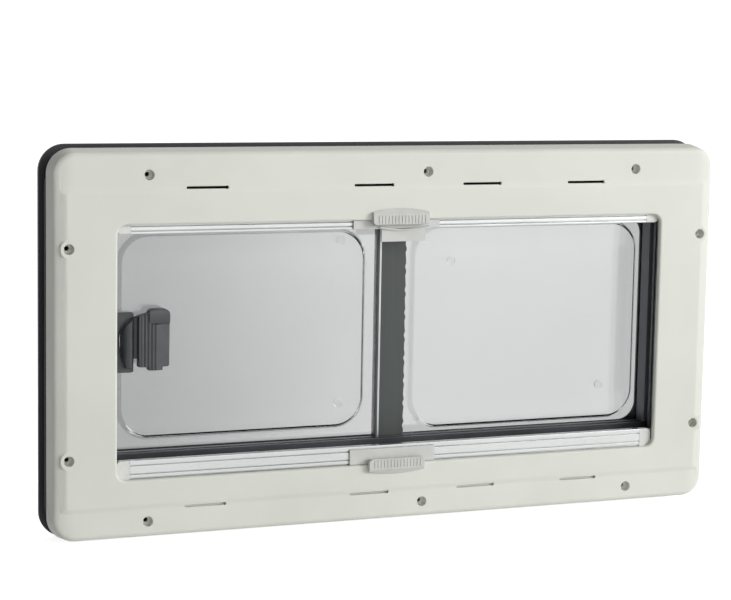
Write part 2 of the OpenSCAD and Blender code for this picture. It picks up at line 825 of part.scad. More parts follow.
// End caps with a tongue that runs in the side channel
module bar_caps(z) {
    for (side = [0, 1]) mirror([side, 0, 0]) {
        intersection() {
            run(bar_l / 2, view_w / 2 - seat) translate([(bar_y0 + bar_y1) / 2, z]) rounded(bar_d, bar_h, bar_r);
            slab(bar_y0 - 1, bar_y1 + 1) translate([0, z]) rounded(view_w - 2 * seat, bar_h, cap_r);
        }
        run(view_w / 2 - seat - eps, view_w / 2 + tongue_l)
            translate([(bar_y0 + bar_y1) / 2, z]) square([tongue_t, bar_h - 2], center = true);
    }
}

module top_bar_caps() {
    color("#e4e4e0") placed() bar_caps(top_bar_z);
}

module bottom_bar_caps() {
    color("#e4e4e0") placed() bar_caps(bottom_bar_z);
}

// Side channel that guides the bars' end caps
module blind_guide() {
    mid = (bar_y0 + bar_y1) / 2;
    post(bottom_roll_z + roll_d / 2, top_roll_z - roll_d / 2) difference() {
        translate([guide_x, guide_y0]) square([guide_w, bar_d + guide_back]);
        translate([guide_x - 1, mid - tongue_t / 2 - seat]) square([tongue_l + 2, tongue_t + 2 * seat]);
    }
}

module left_blind_guide() {
    color("#1b1b1e") placed() mirror([1, 0, 0]) blind_guide();
}

module right_blind_guide() {
    color("#1b1b1e") placed() blind_guide();
}

// Grip pad that rises from z = 0: a ribbed front, a crest that slopes back and an arched upper edge
module grip_pad() {
    y0 = front_y - seat - grip_t;
    face_h = grip_h - 5.5;
    crest = 3.6;
    arch_r = (grip_w * grip_w / 4 + crest * crest) / (2 * crest);
    rib_w = 1.1;
    rib_d = 0.6;
    rib_in = 1.6;
    end_in = 5;
    translate([grip_x, 0, 0]) difference() {
        intersection() {
            translate([0, 0, grip_h / 2]) slab(y0, front_y - seat) rounded(grip_w, grip_h, 4);
            translate([0, 0, grip_h - arch_r]) slab(y0, front_y - seat) circle(arch_r, $fn = 180);
            run(-grip_w / 2, grip_w / 2) polygon([
                [front_y - seat, 0],
                [y0 + 1, 0],
                [y0, 1],
                [y0, face_h],
                [front_y - seat - 1, grip_h],
                [front_y - seat, grip_h]]);
        }
        for (k = [0:grip_ribs - 1])
            translate([-grip_w / 2 + end_in + k * (grip_w - 2 * end_in) / (grip_ribs - 1), y0, face_h / 2])
                cube([rib_w, 2 * rib_d, face_h - 2 * rib_in], center = true);
    }
}

// Neck that joins a grip pad to the clip on its bar
module grip_neck() {
    neck_w = grip_w - 2 * neck_in;
    translate([grip_x - neck_w / 2, front_y - seat - eps, 0])
        cube([neck_w, bar_y0 - clip_t - front_y + seat + eps, neck_t]);
}

// Top grip, its pad standing over the lip's edge
module top_grip() {
    color("#c4c6c8") placed() translate([0, 0, view_top]) {
        translate([0, 0, -pad_low]) grip_pad();
        translate([0, 0, -neck_t - seat]) grip_neck();
    }
}

module bottom_grip() {
    color("#c4c6c8") placed() translate([0, 0, view_low]) {
        translate([0, 0, bottom_pad_up]) mirror([0, 0, 1]) grip_pad();
        translate([0, 0, seat]) grip_neck();
    }
}

// Clip on the room face of a bar, from height z0 to z1
module bar_clip(z0, z1) {
    run(clip_x - clip_w / 2, clip_x + clip_w / 2) translate([bar_y0 - clip_t, z0]) square([clip_t, z1 - z0]);
}

// Top clip with the tab that hangs from it and the bowed ridge over the tab
module top_grip_clip() {
    bar_low = view_top - top_bar_shown;
    ridge_t = 1.6;
    ridge_out = 2.4;
    bow_r = 120;
    color("#d4d6d8") placed() {
        bar_clip(bar_low, view_top - seat);
        run(tab_x - tab_w / 2, tab_x + tab_w / 2)
            translate([bar_y0 - clip_t, bar_low - tab_l]) square([clip_t, tab_l + 1]);
        intersection() {
            translate([tab_x, 0, bar_low - 2 + bow_r]) slab(bar_y0 - clip_t - ridge_out, bar_y0 - 1) difference() {
                circle(bow_r, $fn = 240);
                circle(bow_r - ridge_t, $fn = 240);
            }
            translate([tab_x - tab_w / 2 - 3, bar_y0 - 2 * clip_t - ridge_out, bar_low - 3]) cube([tab_w + 6, 20, 9]);
        }
    }
}

module bottom_grip_clip() {
    color("#d4d6d8") placed() bar_clip(view_low + seat, view_low + bottom_bar_shown - clip_under);
}

inner_frame();
outer_frame();
wall_seal();
top_track();
bottom_track();
left_jamb();
right_jamb();
sliding_pane_inner();
sliding_pane_outer();
fixed_pane_inner();
fixed_pane_outer();
sliding_pane_plugs();
fixed_pane_plugs();
sliding_pane_stile();
meeting_post();
meeting_brush();
latch_base();
latch_lever();
latch_pin();
latch_keeper();
top_blind_roll();
bottom_blind_roll();
top_roll_brackets();
bottom_roll_brackets();
top_blind_bar();
bottom_blind_bar();
top_bar_caps();
bottom_bar_caps();
left_blind_guide();
right_blind_guide();
top_grip();
bottom_grip();
top_grip_clip();
bottom_grip_clip();
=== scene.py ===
# Sliding caravan window seen from the room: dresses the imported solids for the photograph's view
import math

import bmesh
import bpy
from mathutils import Matrix, Vector, geometry


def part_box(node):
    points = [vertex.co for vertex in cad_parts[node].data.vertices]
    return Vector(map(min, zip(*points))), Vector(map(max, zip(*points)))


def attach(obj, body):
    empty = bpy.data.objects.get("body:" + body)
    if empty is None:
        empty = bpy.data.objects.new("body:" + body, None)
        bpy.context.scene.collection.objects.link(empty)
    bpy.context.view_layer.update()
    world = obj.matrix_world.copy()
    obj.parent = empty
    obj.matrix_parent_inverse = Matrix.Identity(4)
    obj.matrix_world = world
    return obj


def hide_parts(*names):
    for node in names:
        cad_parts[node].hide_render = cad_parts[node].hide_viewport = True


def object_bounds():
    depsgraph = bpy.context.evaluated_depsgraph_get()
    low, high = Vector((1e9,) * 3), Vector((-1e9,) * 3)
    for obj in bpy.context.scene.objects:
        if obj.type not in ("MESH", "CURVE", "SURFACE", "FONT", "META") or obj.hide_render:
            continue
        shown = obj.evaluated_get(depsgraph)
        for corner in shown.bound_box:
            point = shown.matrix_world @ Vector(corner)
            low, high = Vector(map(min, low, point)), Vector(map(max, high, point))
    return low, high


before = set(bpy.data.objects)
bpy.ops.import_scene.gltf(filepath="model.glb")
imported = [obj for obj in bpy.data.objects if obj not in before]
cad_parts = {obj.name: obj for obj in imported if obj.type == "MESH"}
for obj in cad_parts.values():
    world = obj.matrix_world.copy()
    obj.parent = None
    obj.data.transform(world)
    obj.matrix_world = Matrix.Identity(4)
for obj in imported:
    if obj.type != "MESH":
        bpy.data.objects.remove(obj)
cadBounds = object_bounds()
mm = 0.001
windowUp = 184.75  # height of the window's middle over the origin, mm
glassUp = 3.75     # height of the clear glass's middle over the window's middle, mm
print("frame loaded:", len(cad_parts), "nodes")


def linearColour(code):
    # sRGB hex to the linear values that the shaders take
    parts = [int(code[k:k + 2], 16) / 255 for k in (0, 2, 4)]
    return [p / 12.92 if p <= 0.04045 else ((p + 0.055) / 1.055) ** 2.4 for p in parts] + [1.0]


def addNode(tree, kind, sockets=None, **settings):
    node = tree.nodes.new(kind)
    for name, value in settings.items():
        setattr(node, name, value)
    for name, value in (sockets or {}).items():
        if isinstance(value, bpy.types.NodeSocket):
            tree.links.new(value, node.inputs[name])
        else:
            node.inputs[name].default_value = value
    return node


def startMaterial(name):
    material = bpy.data.materials.new(name)
    material.use_nodes = True
    material.node_tree.nodes.clear()
    return material, material.node_tree


def startFinish(name):
    material, tree = startMaterial(name)
    shader = addNode(tree, "ShaderNodeBsdfPrincipled")
    addNode(tree, "ShaderNodeOutputMaterial", {"Surface": shader.outputs[0]})
    place = addNode(tree, "ShaderNodeTexCoord").outputs["Object"]
    return material, tree, shader, place


def drifting(tree, place, sizeMm, stretch=(1, 1, 1), detail=2.0):
    # slow noise whose blotches are sizeMm across, stretched along an axis where the tool drags
    mapped = addNode(tree, "ShaderNodeMapping", {"Vector": place, "Scale": stretch})
    noise = addNode(tree, "ShaderNodeTexNoise",
                    {"Vector": mapped.outputs[0], "Scale": 1 / (sizeMm * mm), "Detail": detail})
    return noise.outputs["Fac"]


def layTones(tree, shader, tones, share):
    first, second = [linearColour(code) for code in tones]
    tone = addNode(tree, "ShaderNodeMix", {0: share, 6: first, 7: second}, data_type="RGBA").outputs[2]
    tree.links.new(tone, shader.inputs["Base Color"])
    return tone


def dressShader(tree, shader, tones, roughness, swing, drift, gloss, height, deepMm):
    # the tone drifts between two colours, the roughness swings about its middle, the height bumps the face
    spread = {"From Min": 0.3, "From Max": 0.7}  # the noise seldom leaves this range
    level = addNode(tree, "ShaderNodeMapRange", {"Value": drift, **spread})
    layTones(tree, shader, tones, level.outputs[0])
    shine = addNode(tree, "ShaderNodeMapRange",
                    {"Value": gloss, **spread, "To Min": roughness - swing, "To Max": roughness + swing})
    bump = addNode(tree, "ShaderNodeBump", {"Height": height, "Distance": deepMm * mm, "Strength": 1.0})
    tree.links.new(shine.outputs[0], shader.inputs["Roughness"])
    tree.links.new(bump.outputs[0], shader.inputs["Normal"])


def mouldedPlastic(name, tones, roughness, ior, driftMm, grainMm, deepMm, stretch=(1, 1, 1),
                   grainStretch=(1, 1, 1), swing=0.05):
    # Injection moulded or extruded plastic: the tool's spark grain breaks up the highlight,
    # and a slow drift of tone and gloss keeps a large face from looking flat.
    # The real grain is about 0.3 mm; it is drawn coarser here, so that it shows
    material, tree, shader, place = startFinish(name)
    drift = drifting(tree, place, driftMm, stretch)
    grain = drifting(tree, place, grainMm, grainStretch, 3.0)
    dressShader(tree, shader, tones, roughness, swing, drift, drift, grain, deepMm)
    shader.inputs["IOR"].default_value = ior
    return material


def drawnMetal(name, tones, roughness, lineMm, stretch, driftMm, deepMm, swing=0.07):
    # Drawn or extruded metal: fine die lines run along the length and stretch the highlight
    material, tree, shader, place = startFinish(name)
    lines = drifting(tree, place, lineMm, stretch, 4.0)
    cloud = drifting(tree, place, driftMm)
    dressShader(tree, shader, tones, roughness, swing, cloud, lines, lines, deepMm)
    shader.inputs["Metallic"].default_value = 1.0
    return material


def wovenCloth(name, tones, threadMm, roughness, sheen, threadDeepMm=0.1):
    # Woven cloth: threads across and along make the face matt and faintly chequered
    material, tree, shader, place = startFinish(name)
    pitch = 2 * math.pi / (20 * threadMm * mm)  # a wave of scale 1 is 2 pi / 20 long
    across, along = [addNode(tree, "ShaderNodeTexWave", {"Vector": place, "Scale": pitch},
                             bands_direction=axis).outputs["Fac"] for axis in "XZ"]
    weave = addNode(tree, "ShaderNodeMath", {0: across, 1: along}, operation="MULTIPLY")
    layTones(tree, shader, tones, weave.outputs[0])
    bump = addNode(tree, "ShaderNodeBump",
                   {"Height": weave.outputs[0], "Distance": threadDeepMm * mm, "Strength": 0.6})
    shader.inputs["Roughness"].default_value = roughness
    shader.inputs["Sheen Weight"].default_value = sheen
    tree.links.new(bump.outputs[0], shader.inputs["Normal"])
    return material


def castAcrylic(name, tones, hazeMm, roughness, ior=1.49):
    # Cast acrylic sheet blown to shape: clear with a grey tint, glossy, and light passes to what is behind
    material, tree, shader, place = startFinish(name)
    tone = layTones(tree, shader, tones, drifting(tree, place, hazeMm))
    shader.inputs["Transmission Weight"].default_value = 1.0
    shader.inputs["IOR"].default_value = ior
    shader.inputs["Roughness"].default_value = roughness
    lit = addNode(tree, "ShaderNodeBsdfTransparent", {"Color": tone})
    path = addNode(tree, "ShaderNodeLightPath").outputs
    mixed = addNode(tree, "ShaderNodeMixShader",
                    {0: path["Is Shadow Ray"], 1: shader.outputs[0], 2: lit.outputs[0]})
    tree.links.new(mixed.outputs[0], tree.nodes["Material Output"].inputs["Surface"])
    return material


finishes = {
    # ABS moulding with a fine leather grain: matt and warm white, never a sharp highlight
    "cream_moulding": mouldedPlastic("grained cream ABS moulding", ("DADBD2", "E0E2D9"), roughness=0.52,
                                     ior=1.5, driftMm=90, grainMm=1.3, deepMm=0.035),
    # Polyurethane foam moulding with a dense black skin: dull, with a soft grain
    "black_foam": mouldedPlastic("black skin of foam moulding", ("17171C", "1F1F25"), roughness=0.5,
                                 ior=1.48, driftMm=40, grainMm=1.1, deepMm=0.05),
    # EPDM strip: black, slightly greasy sheen
    "seal_rubber": mouldedPlastic("extruded black rubber", ("101012", "18181A"), roughness=0.42, ior=1.52,
                                  driftMm=12, grainMm=0.8, deepMm=0.02),
    # PVC extrusion: black with draw lines along it
    "track_plastic": mouldedPlastic("black extruded PVC", ("343639", "424448"), roughness=0.4, ior=1.52,
                                    driftMm=60, grainMm=1.6, grainStretch=(0.08, 1, 1), deepMm=0.03),
    # The jambs are the tracks' black PVC; their lighter, bluer tone is a painted reflection of the bright
    # room
    "jamb_painted_reflection": mouldedPlastic("black extruded PVC with painted reflection", ("6A6B72", "76777F"), roughness=0.4, ior=1.52,
                                   driftMm=60, stretch=(1, 1, 0.05), grainMm=1.6, grainStretch=(1, 1, 0.08),
                                   deepMm=0.03),
    # Blown acrylic sheet: polished, so the tint only drifts slowly
    "acrylic": castAcrylic("blown cast acrylic", ("EEEFEF", "F3F4F4"), hazeMm=160, roughness=0.0),
    # Pressed plug of clear acrylic: only its rounded rim draws a ring on the pane
    "plug_plastic": castAcrylic("clear pressed plug", ("ECEEEE", "F2F4F4"), hazeMm=4, roughness=0.03),
    # Anodised strip, drawn upright: satin, with a soft highlight
    "stile_aluminium": drawnMetal("satin anodised edge strip", ("9DA1A1", "AEB2B2"), roughness=0.34,
                                  lineMm=0.8, stretch=(1, 1, 0.02), driftMm=60, deepMm=0.01),
    # Dark grey extrusion with a rubbery skin and upright die lines
    "post_plastic": mouldedPlastic("grey extruded post", ("363B39", "404543"), roughness=0.55, ior=1.48,
                                   driftMm=9, stretch=(1, 1, 0.03), grainMm=1.4, grainStretch=(1, 1, 0.05),
                                   deepMm=0.04),
    # Polypropylene pile: soft grey fibres
    "pile": wovenCloth("woven polypropylene pile", ("8E8E8A", "B5B5B0"), threadMm=0.8, roughness=0.9,
                       sheen=0.4),
    # Glass filled nylon: dark grey, finely speckled, soft highlight
    "latch_plastic": mouldedPlastic("dark nylon moulding", ("303336", "3A3D40"), roughness=0.42, ior=1.53,
                                    driftMm=14, grainMm=0.7, deepMm=0.02),
    # Drawn steel wire: bright, with lines along the pin
    "pin_steel": drawnMetal("drawn steel pin", ("8C8F90", "A5A8A9"), roughness=0.3, lineMm=0.5,
                            stretch=(1, 1, 0.03), driftMm=20, deepMm=0.01),
    # Coated glass yarn: dark and open
    "screen_cloth": wovenCloth("dark woven insect screen", ("3A3D3F", "5D6163"), threadMm=1.2, roughness=0.85,
                               sheen=0.1),
    # Polyester cloth with a coated back: sand coloured and matt
    "blackout_cloth": wovenCloth("coated blackout cloth", ("A99B80", "BDB095"), threadMm=0.7, roughness=0.8,
                                 sheen=0.2),
    # ABS moulding without grain: a little glossier than the inner frame
    "cream_plain": mouldedPlastic("plain cream ABS moulding", ("D6D5C8", "DDDCD0"), roughness=0.42, ior=1.5,
                                  driftMm=30, grainMm=0.8, deepMm=0.01),
    # Anodised extrusion: bright, with die lines along the bar
    "bar_aluminium": drawnMetal("anodised aluminium bar", ("B5B7B6", "BFC1C0"), roughness=0.3, lineMm=0.9,
                                stretch=(0.02, 1, 1), driftMm=120, deepMm=0.012),
    # Polished moulding of the bars' caps: near white, with a clear highlight
    "cap_plastic": mouldedPlastic("white glossy moulding", ("D9D9D5", "E2E2DE"), roughness=0.28, ior=1.5,
                                  driftMm=20, grainMm=0.8, deepMm=0.008),
    # Acetal moulding: light grey and slightly waxy
    "grip_plastic": mouldedPlastic("light grey acetal moulding", ("C9C9C6", "D2D2CF"), roughness=0.36,
                                   ior=1.48, driftMm=18, grainMm=0.7, deepMm=0.012),
}
print("finishes made:", len(finishes))


def finishPiece(name, data, slot, replaced, sharpDeg=38):
    # a finished piece sits at the origin, smooth, on the one body
    data.materials.clear()
    data.materials.append(finishes[slot])
    data.shade_smooth()
    data.set_sharp_from_angle(angle=math.radians(sharpDeg))
    piece = bpy.data.objects.new(name, data)
    bpy.context.scene.collection.objects.link(piece)
    weighted = piece.modifiers.new("even shading", "WEIGHTED_NORMAL")
    weighted.keep_sharp = True
    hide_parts(*replaced)
    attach(piece, "root")
    return piece


def meshFrom(name, shell):
    # the shell's points are in mm about the window's middle; its faces are turned outwards
    data = bpy.data.meshes.new(name)
    points = [(x * mm, y * mm, (z + windowUp) * mm) for x, y, z in shell["points"]]
    data.from_pydata(points, [], shell["faces"])
    work = bmesh.new()
    work.from_mesh(data)
    bmesh.ops.remove_doubles(work, verts=work.verts, dist=1e-6)
    bmesh.ops.recalc_face_normals(work, faces=work.faces)
    work.to_mesh(data)
    work.free()
    return data


def startShell():
    return {"points": [], "faces": []}


def addRing(shell, points):
    first = len(shell["points"])
    shell["points"].extend(points)
    return list(range(first, first + len(points)))


def flatRing(shell, loop, y):
    # a ring at one depth, from a loop of (x, z)
    return addRing(shell, [(x, y, z) for x, z in loop])


def bridgeRings(shell, rings, capped=False):
    # joins each ring to the next one, and closes both ends where they are capped
    for a, b in zip(rings, rings[1:]):
        n = len(a)
        shell["faces"] += [(a[k], a[(k + 1) % n], b[(k + 1) % n], b[k]) for k in range(n)]
    if capped:
        shell["faces"] += [tuple(rings[0]), tuple(rings[-1])]


def finishShell(name, shell, slot, replaced, sharpDeg=38):
    return finishPiece(name, meshFrom(name, shell), slot, replaced, sharpDeg)


def quarter(steps):
    # the angles of a quarter turn
    return [math.radians(90 * k / steps) for k in range(steps + 1)]


def roundedLoop(w, h, r, cz=0.0, cx=0.0, corner=10, side=(1, 1)):
    # rounded rectangle as (x, z) with a fixed count of points, so that loops of other sizes bridge to it
    def spot(q, turn):
        sx, sz = ((1, 1), (-1, 1), (-1, -1), (1, -1))[q % 4]
        a = math.radians(90 * q + turn)
        return cx + sx * (w / 2 - r) + r * math.cos(a), cz + sz * (h / 2 - r) + r * math.sin(a)

    loop = []
    for q in range(4):
        loop += [spot(q, 90 * k / corner) for k in range(corner + 1)]
        (x0, z0), (x1, z1), n = loop[-1], spot(q + 1, 0), side[q % 2]
        loop += [(x0 + (x1 - x0) * (k / n), z0 + (z1 - z0) * (k / n)) for k in range(1, n)]
    return loop


def circleLoop(x, z, r, count=32):
    turns = [2 * math.pi * k / count for k in range(count)]
    return [(x + r * math.cos(a), z + r * math.sin(a)) for a in turns]


def bounded(loop):
    xs, zs = zip(*loop)
    return {"points": loop, "low": (min(xs), min(zs)), "high": (max(xs), max(zs))}


def inBox(loop, x, z, reach):
    (x0, z0), (x1, z1) = loop["low"], loop["high"]
    return x0 - reach <= x <= x1 + reach and z0 - reach <= z <= z1 + reach


def holds(loop, x, z):
    inside, points = False, loop["points"]
    if inBox(loop, x, z, 0):
        for (xj, zj), (xi, zi) in zip(points[-1:] + points, points):
            if (zi > z) != (zj > z) and x < (xj - xi) * (z - zi) / (zj - zi) + xi:
                inside = not inside
    return inside


def closeTo(loop, x, z, reach):
    points = loop["points"]
    if inBox(loop, x, z, reach):
        for (ax, az), (bx, bz) in zip(points, points[1:] + points[:1]):
            dx, dz = bx - ax, bz - az
            span = dx * dx + dz * dz
            t = 0 if span == 0 else max(0, min(1, ((x - ax) * dx + (z - az) * dz) / span))
            if math.hypot(x - ax - t * dx, z - az - t * dz) < reach:
                return True
    return False


def fillFace(shell, outer, holes, grid, depth, clear=0.4):
    # Lays triangles between the outer ring and the holes, through the grid points at depth(x, z) that keep
    # clear of them. Vector rounds as the triangulation does, so that both agree on a thin triangle's side
    rings = [outer] + holes
    loops = [bounded([tuple(Vector((shell["points"][i][0], shell["points"][i][2]))) for i in ring])
             for ring in rings]
    ids = [i for ring in rings for i in ring]
    coords, edges = [], []
    for loop in loops:
        first, n = len(coords), len(loop["points"])
        coords += [Vector(p) for p in loop["points"]]
        edges += [(first + k, first + (k + 1) % n) for k in range(n)]
    for x, z in grid:
        if not holds(loops[0], x, z) or closeTo(loops[0], x, z, clear):
            continue
        if any(holds(loop, x, z) or closeTo(loop, x, z, clear) for loop in loops[1:]):
            continue
        coords.append(Vector((x, z)))
        ids.append(len(shell["points"]))
        shell["points"].append((x, depth(x, z), z))
    made, _, triangles, origin, _, _ = geometry.delaunay_2d_cdt(coords, edges, [], 0, 1e-6)
    for t in triangles:
        cx, cz = sum(made[i].x for i in t) / len(t), sum(made[i].y for i in t) / len(t)
        if holds(loops[0], cx, cz) and not any(holds(loop, cx, cz) for loop in loops[1:]):
            shell["faces"].append(tuple(ids[origin[i][0]] for i in t))


def smoothMax(a, b, reach):
    h = max(reach - abs(a - b), 0) / reach
    return max(a, b) + h * h * reach / 4


def eased(t):
    t = max(0.0, min(1.0, t))
    return t * t * (3 - 2 * t)


innerFrame = {
    "front": -47.5, "strip": -46.1, "rim": -24.0, "wall": 3.0,
    "width": 716.0, "height": 381.0, "corner": 24.0, "rise": 3.5,
    "edge": 6.0, "draft": 2.5,
    "slopeFrom": 343.5, "slopeFall": 5.4 / 14.5,
    "crease": 154.0, "creaseSoft": 6.5, "bend": 0.8, "bendWide": 4.5, "sideSoft": 4.0,
    "view": (587.0, 248.0, 9.0, -3.0), "lip": 2.5, "lipDeep": 5.0,
    "pocket": 5.0, "pocketFloor": -37.9, "boss": 6.8, "bossRear": -34.9, "hole": 2.25, "flare": 0.7,
    "land": 9.0, "landSoft": 2.0,
    "rowScrews": [(x, z) for x in (-262.5, 27.0, 262.5) for z in (-169.0, 169.0)],
    "sideScrews": [(x, z) for x in (-341.0, 341.0) for z in (-104.5, 99.5)],
    "slots": [(x, z) for x in (-205.0, -32.0, 86.0, 204.0) for z in (-156.3, 156.3)],
    "slotLength": 41.0, "slotHeight": 2.5, "slotEye": 3.4, "slotEdge": 0.22, "eyeFlare": 2.6,
    # grid over the face: close along the creases of the sides and strips, and round the side pockets' lands
    "gridX": list(range(-336, 337, 12)), "gridZ": list(range(-144, 145, 12)),
    "fineX": [337, 339, 340.4, 341.4, 342.2, 342.8, 343.4, 344, 344.6, 345.3, 346, 346.8, 347.4, 348, 348.6],
    "stripZ": [162, 168, 175, 182], "landRings": [7.0, 8.0, 8.5, 9.0, 9.5, 10.0],
}


def frontDepth(x, z, v=innerFrame):
    past = eased((abs(z) - v["crease"]) / v["creaseSoft"] + 0.5)
    field = v["front"] + (v["strip"] - v["front"]) * past
    slope = v["front"] + (abs(x) - v["slopeFrom"]) * v["slopeFall"]
    y = smoothMax(field, slope, v["bend"] + (v["bendWide"] - v["bend"]) * past)
    for px, pz in v["sideScrews"]:  # flat land round a pocket that stands on the slope
        far = math.hypot(x - px, z - pz)
        if far < v["land"] + v["landSoft"]:
            keep = 1 - eased((far - v["land"]) / v["landSoft"] + 0.5)
            y = y + (v["front"] - y) * keep
    return y


def slotLoop(x, z, grow, v=innerFrame):
    # a slot with a round eye at its right end
    half, eye = v["slotHeight"] / 2 + grow, v["slotEye"] / 2 + grow * v["eyeFlare"]
    left, right = x - v["slotLength"] / 2 + half - grow, x + v["slotLength"] / 2
    start = math.asin(min(1, half / eye))
    neck = eye * math.cos(start)
    loop = [(right + eye * math.cos(a), z + eye * math.sin(a))
            for a in [-math.pi + start + (2 * math.pi - 2 * start) * k / 14 for k in range(15)]]
    loop += [(right - (right - left) * k / 6 - neck * (1 - k / 6), z + half) for k in range(1, 6)]
    loop += [(left + half * math.cos(a), z + half * math.sin(a))
             for a in [math.pi / 2 + math.pi * k / 8 for k in range(9)]]
    loop += [(left + (right - neck - left) * k / 6, z - half) for k in range(1, 6)]
    return loop


def makeInnerFrame(v=innerFrame):
    shell = startShell()
    centre, radius = v["draft"] + v["edge"], v["edge"] - v["wall"]
    edgeY = v["strip"] + v["edge"]

    def outline(inset, y, slope=None, softer=0.0):
        # One ring round the moulding. Where a slope is given, the sloped sides cut it back, with a bend
        # that is softer near the flank
        loop = roundedLoop(v["width"] - 2 * inset, v["height"] - 2 * inset, v["corner"] - inset, v["rise"],
                           corner=14, side=(40, 20))
        if slope is None:
            return flatRing(shell, loop, y)
        narrow = v["bend"] + softer
        bends = [narrow + (v["bendWide"] - narrow) * eased((abs(z) - v["crease"]) / v["creaseSoft"] + 0.5)
                 for x, z in loop]
        return addRing(shell, [(x, smoothMax(y, slope + (abs(x) - v["slopeFrom"]) * v["slopeFall"], bend), z)
                               for (x, z), bend in zip(loop, bends)])

    outside = [outline(0.5, v["rim"]), outline(0.05, v["rim"] - 0.5)]
    outside += [outline(v["draft"] * t, v["rim"] + (edgeY - v["rim"]) * t) for t in (0.33, 0.66)]
    outside += [outline(centre - v["edge"] * math.cos(a), edgeY - v["edge"] * math.sin(a), v["front"],
                        v["sideSoft"] * (1 - 2 * a / math.pi)) for a in quarter(10)]
    within = [outline(centre - radius * math.cos(a), edgeY - radius * math.sin(a), v["front"] + v["wall"])
              for a in quarter(6)]
    rings = within[::-1] + [outline(v["wall"], v["rim"])] + outside

    def viewRing(grow, y):
        w, h, r, cz = v["view"]
        return flatRing(shell, roundedLoop(w + 2 * grow, h + 2 * grow, r + grow, cz, side=(24, 12)), y)

    rear = v["front"] + v["lipDeep"]
    lip = [viewRing(v["lip"] * (1 - math.sin(a)), v["front"] + v["lip"] * (1 - math.cos(a)))
           for a in quarter(6)]
    lip += [viewRing(0, rear - 0.4), viewRing(0.4, rear), viewRing(v["wall"], rear),
            viewRing(v["wall"], v["front"] + v["wall"])]
    chains = [rings, lip]
    fronts, backs = [lip[0]], [lip[-1]]
    # rings of a screw pocket as (radius, depth under the face, or else y), from its flared mouth to its boss
    f, p, floor = v["flare"], v["pocket"], v["pocketFloor"]
    pocketRings = [(p + f, 0, None), (p + f * 0.62, f * 0.08, None), (p + f * 0.3, f * 0.3, None),
                   (p + f * 0.08, f * 0.62, None), (p, f, None), (p, 0, floor - 0.6),
                   (p - 0.2, 0, floor - 0.15), (p - 0.7, 0, floor), (v["hole"] + 0.2, 0, floor),
                   (v["hole"], 0, floor + 0.2), (v["hole"], 0, v["bossRear"]), (v["boss"], 0, v["bossRear"]),
                   (v["boss"], v["wall"], None)]
    for px, pz in v["rowScrews"] + v["sideScrews"]:
        chains.append([addRing(shell, [(x, frontDepth(x, z) + sunk if y is None else y, z)
                                       for x, z in circleLoop(px, pz, far)]) for far, sunk, y in pocketRings])
    e = v["slotEdge"]
    for sx, sz in v["slots"]:
        chains.append([addRing(shell, [(x, frontDepth(x, z) + sunk, z) for x, z in slotLoop(sx, sz, grow)])
                       for grow, sunk in ((e, 0), (e * 0.3, e * 0.3), (0, e), (0, v["wall"]))])
    fronts += [chain[0] for chain in chains[2:]]
    backs += [chain[-1] for chain in chains[2:]]
    for chain in chains:
        bridgeRings(shell, chain)

    fineZ = [v["crease"] + v["creaseSoft"] * (k / 8 - 0.5) for k in range(9)]
    xs = v["gridX"] + [x * s for x in v["fineX"] for s in (-1, 1)]
    zs = v["gridZ"] + [z * s for z in fineZ + v["stripZ"] for s in (-1, 1)]
    near = v["land"] + v["landSoft"] / 2 + 0.5
    grid = [(x, z) for x in xs for z in zs
            if all(math.hypot(x - px, z - pz) > near for px, pz in v["sideScrews"])]
    for px, pz in v["sideScrews"]:
        grid += [q for far in v["landRings"] for q in circleLoop(px, pz, far, 40)]
    fillFace(shell, outside[-1], fronts, grid, frontDepth)
    fillFace(shell, within[-1], backs, grid, lambda x, z: frontDepth(x, z) + v["wall"])
    finishShell("inner_frame_moulding", shell, "cream_moulding", ["inner_frame"])


makeInnerFrame()
print("inner frame made")


def softCorners(points, reaches, span, steps):
    # rounds the corners of a closed chain of points by curves that start at their reach from the corner
    soft = []
    for k, here in enumerate(points):
        ends = []
        for other in (points[k - 1], points[(k + 1) % len(points)]):
            t = min(0.45, reaches[k] / span(here, other))
            ends.append([a + (b - a) * t for a, b in zip(here, other)])
        for q in range(steps + 1):
            t = q / steps
            soft.append([(1 - t) ** 2 * a + 2 * t * (1 - t) * b + t * t * c
                         for a, b, c in zip(ends[0], here, ends[1])])
    return soft


def ringSpan(a, b):
    # how far apart two rings lie, each given as (width, height, corner radius, cz, y)
    return max(abs(a[0] - b[0]) / 2, abs(a[1] - b[1]) / 2, abs(a[4] - b[4]), 1e-6)


def softRings(shell, corners):
    # rings through a section given as (width, height, corner radius, cz, y, softening) in order
    soft = softCorners([c[:5] for c in corners], [c[5] for c in corners], ringSpan, 4)
    return [flatRing(shell, roundedLoop(w, h, r, cz, corner=12, side=(16, 8)), y) for w, h, r, cz, y in soft]


outerFrame = {
    "leg": (698.0, 348.0, 17.0, 0.0), "seat": (710.0, 360.0, 23.0, 0.0), "flange": (720.0, 386.0, 26.0, 3.5),
    "aperture": (600.0, 222.5, 20.0, glassUp), "channel": (636.0, 258.5, 1.0, glassUp),
    "inside": (674.0, 324.0, 5.3, 0.0),
    "legFront": -34.6, "seatDeep": 1.0, "flangeBack": 5.0, "out": 11.0, "channelOut": 7.6, "channelIn": -14.6,
    "pilot": 1.6, "pilotDeep": 12.0,
}


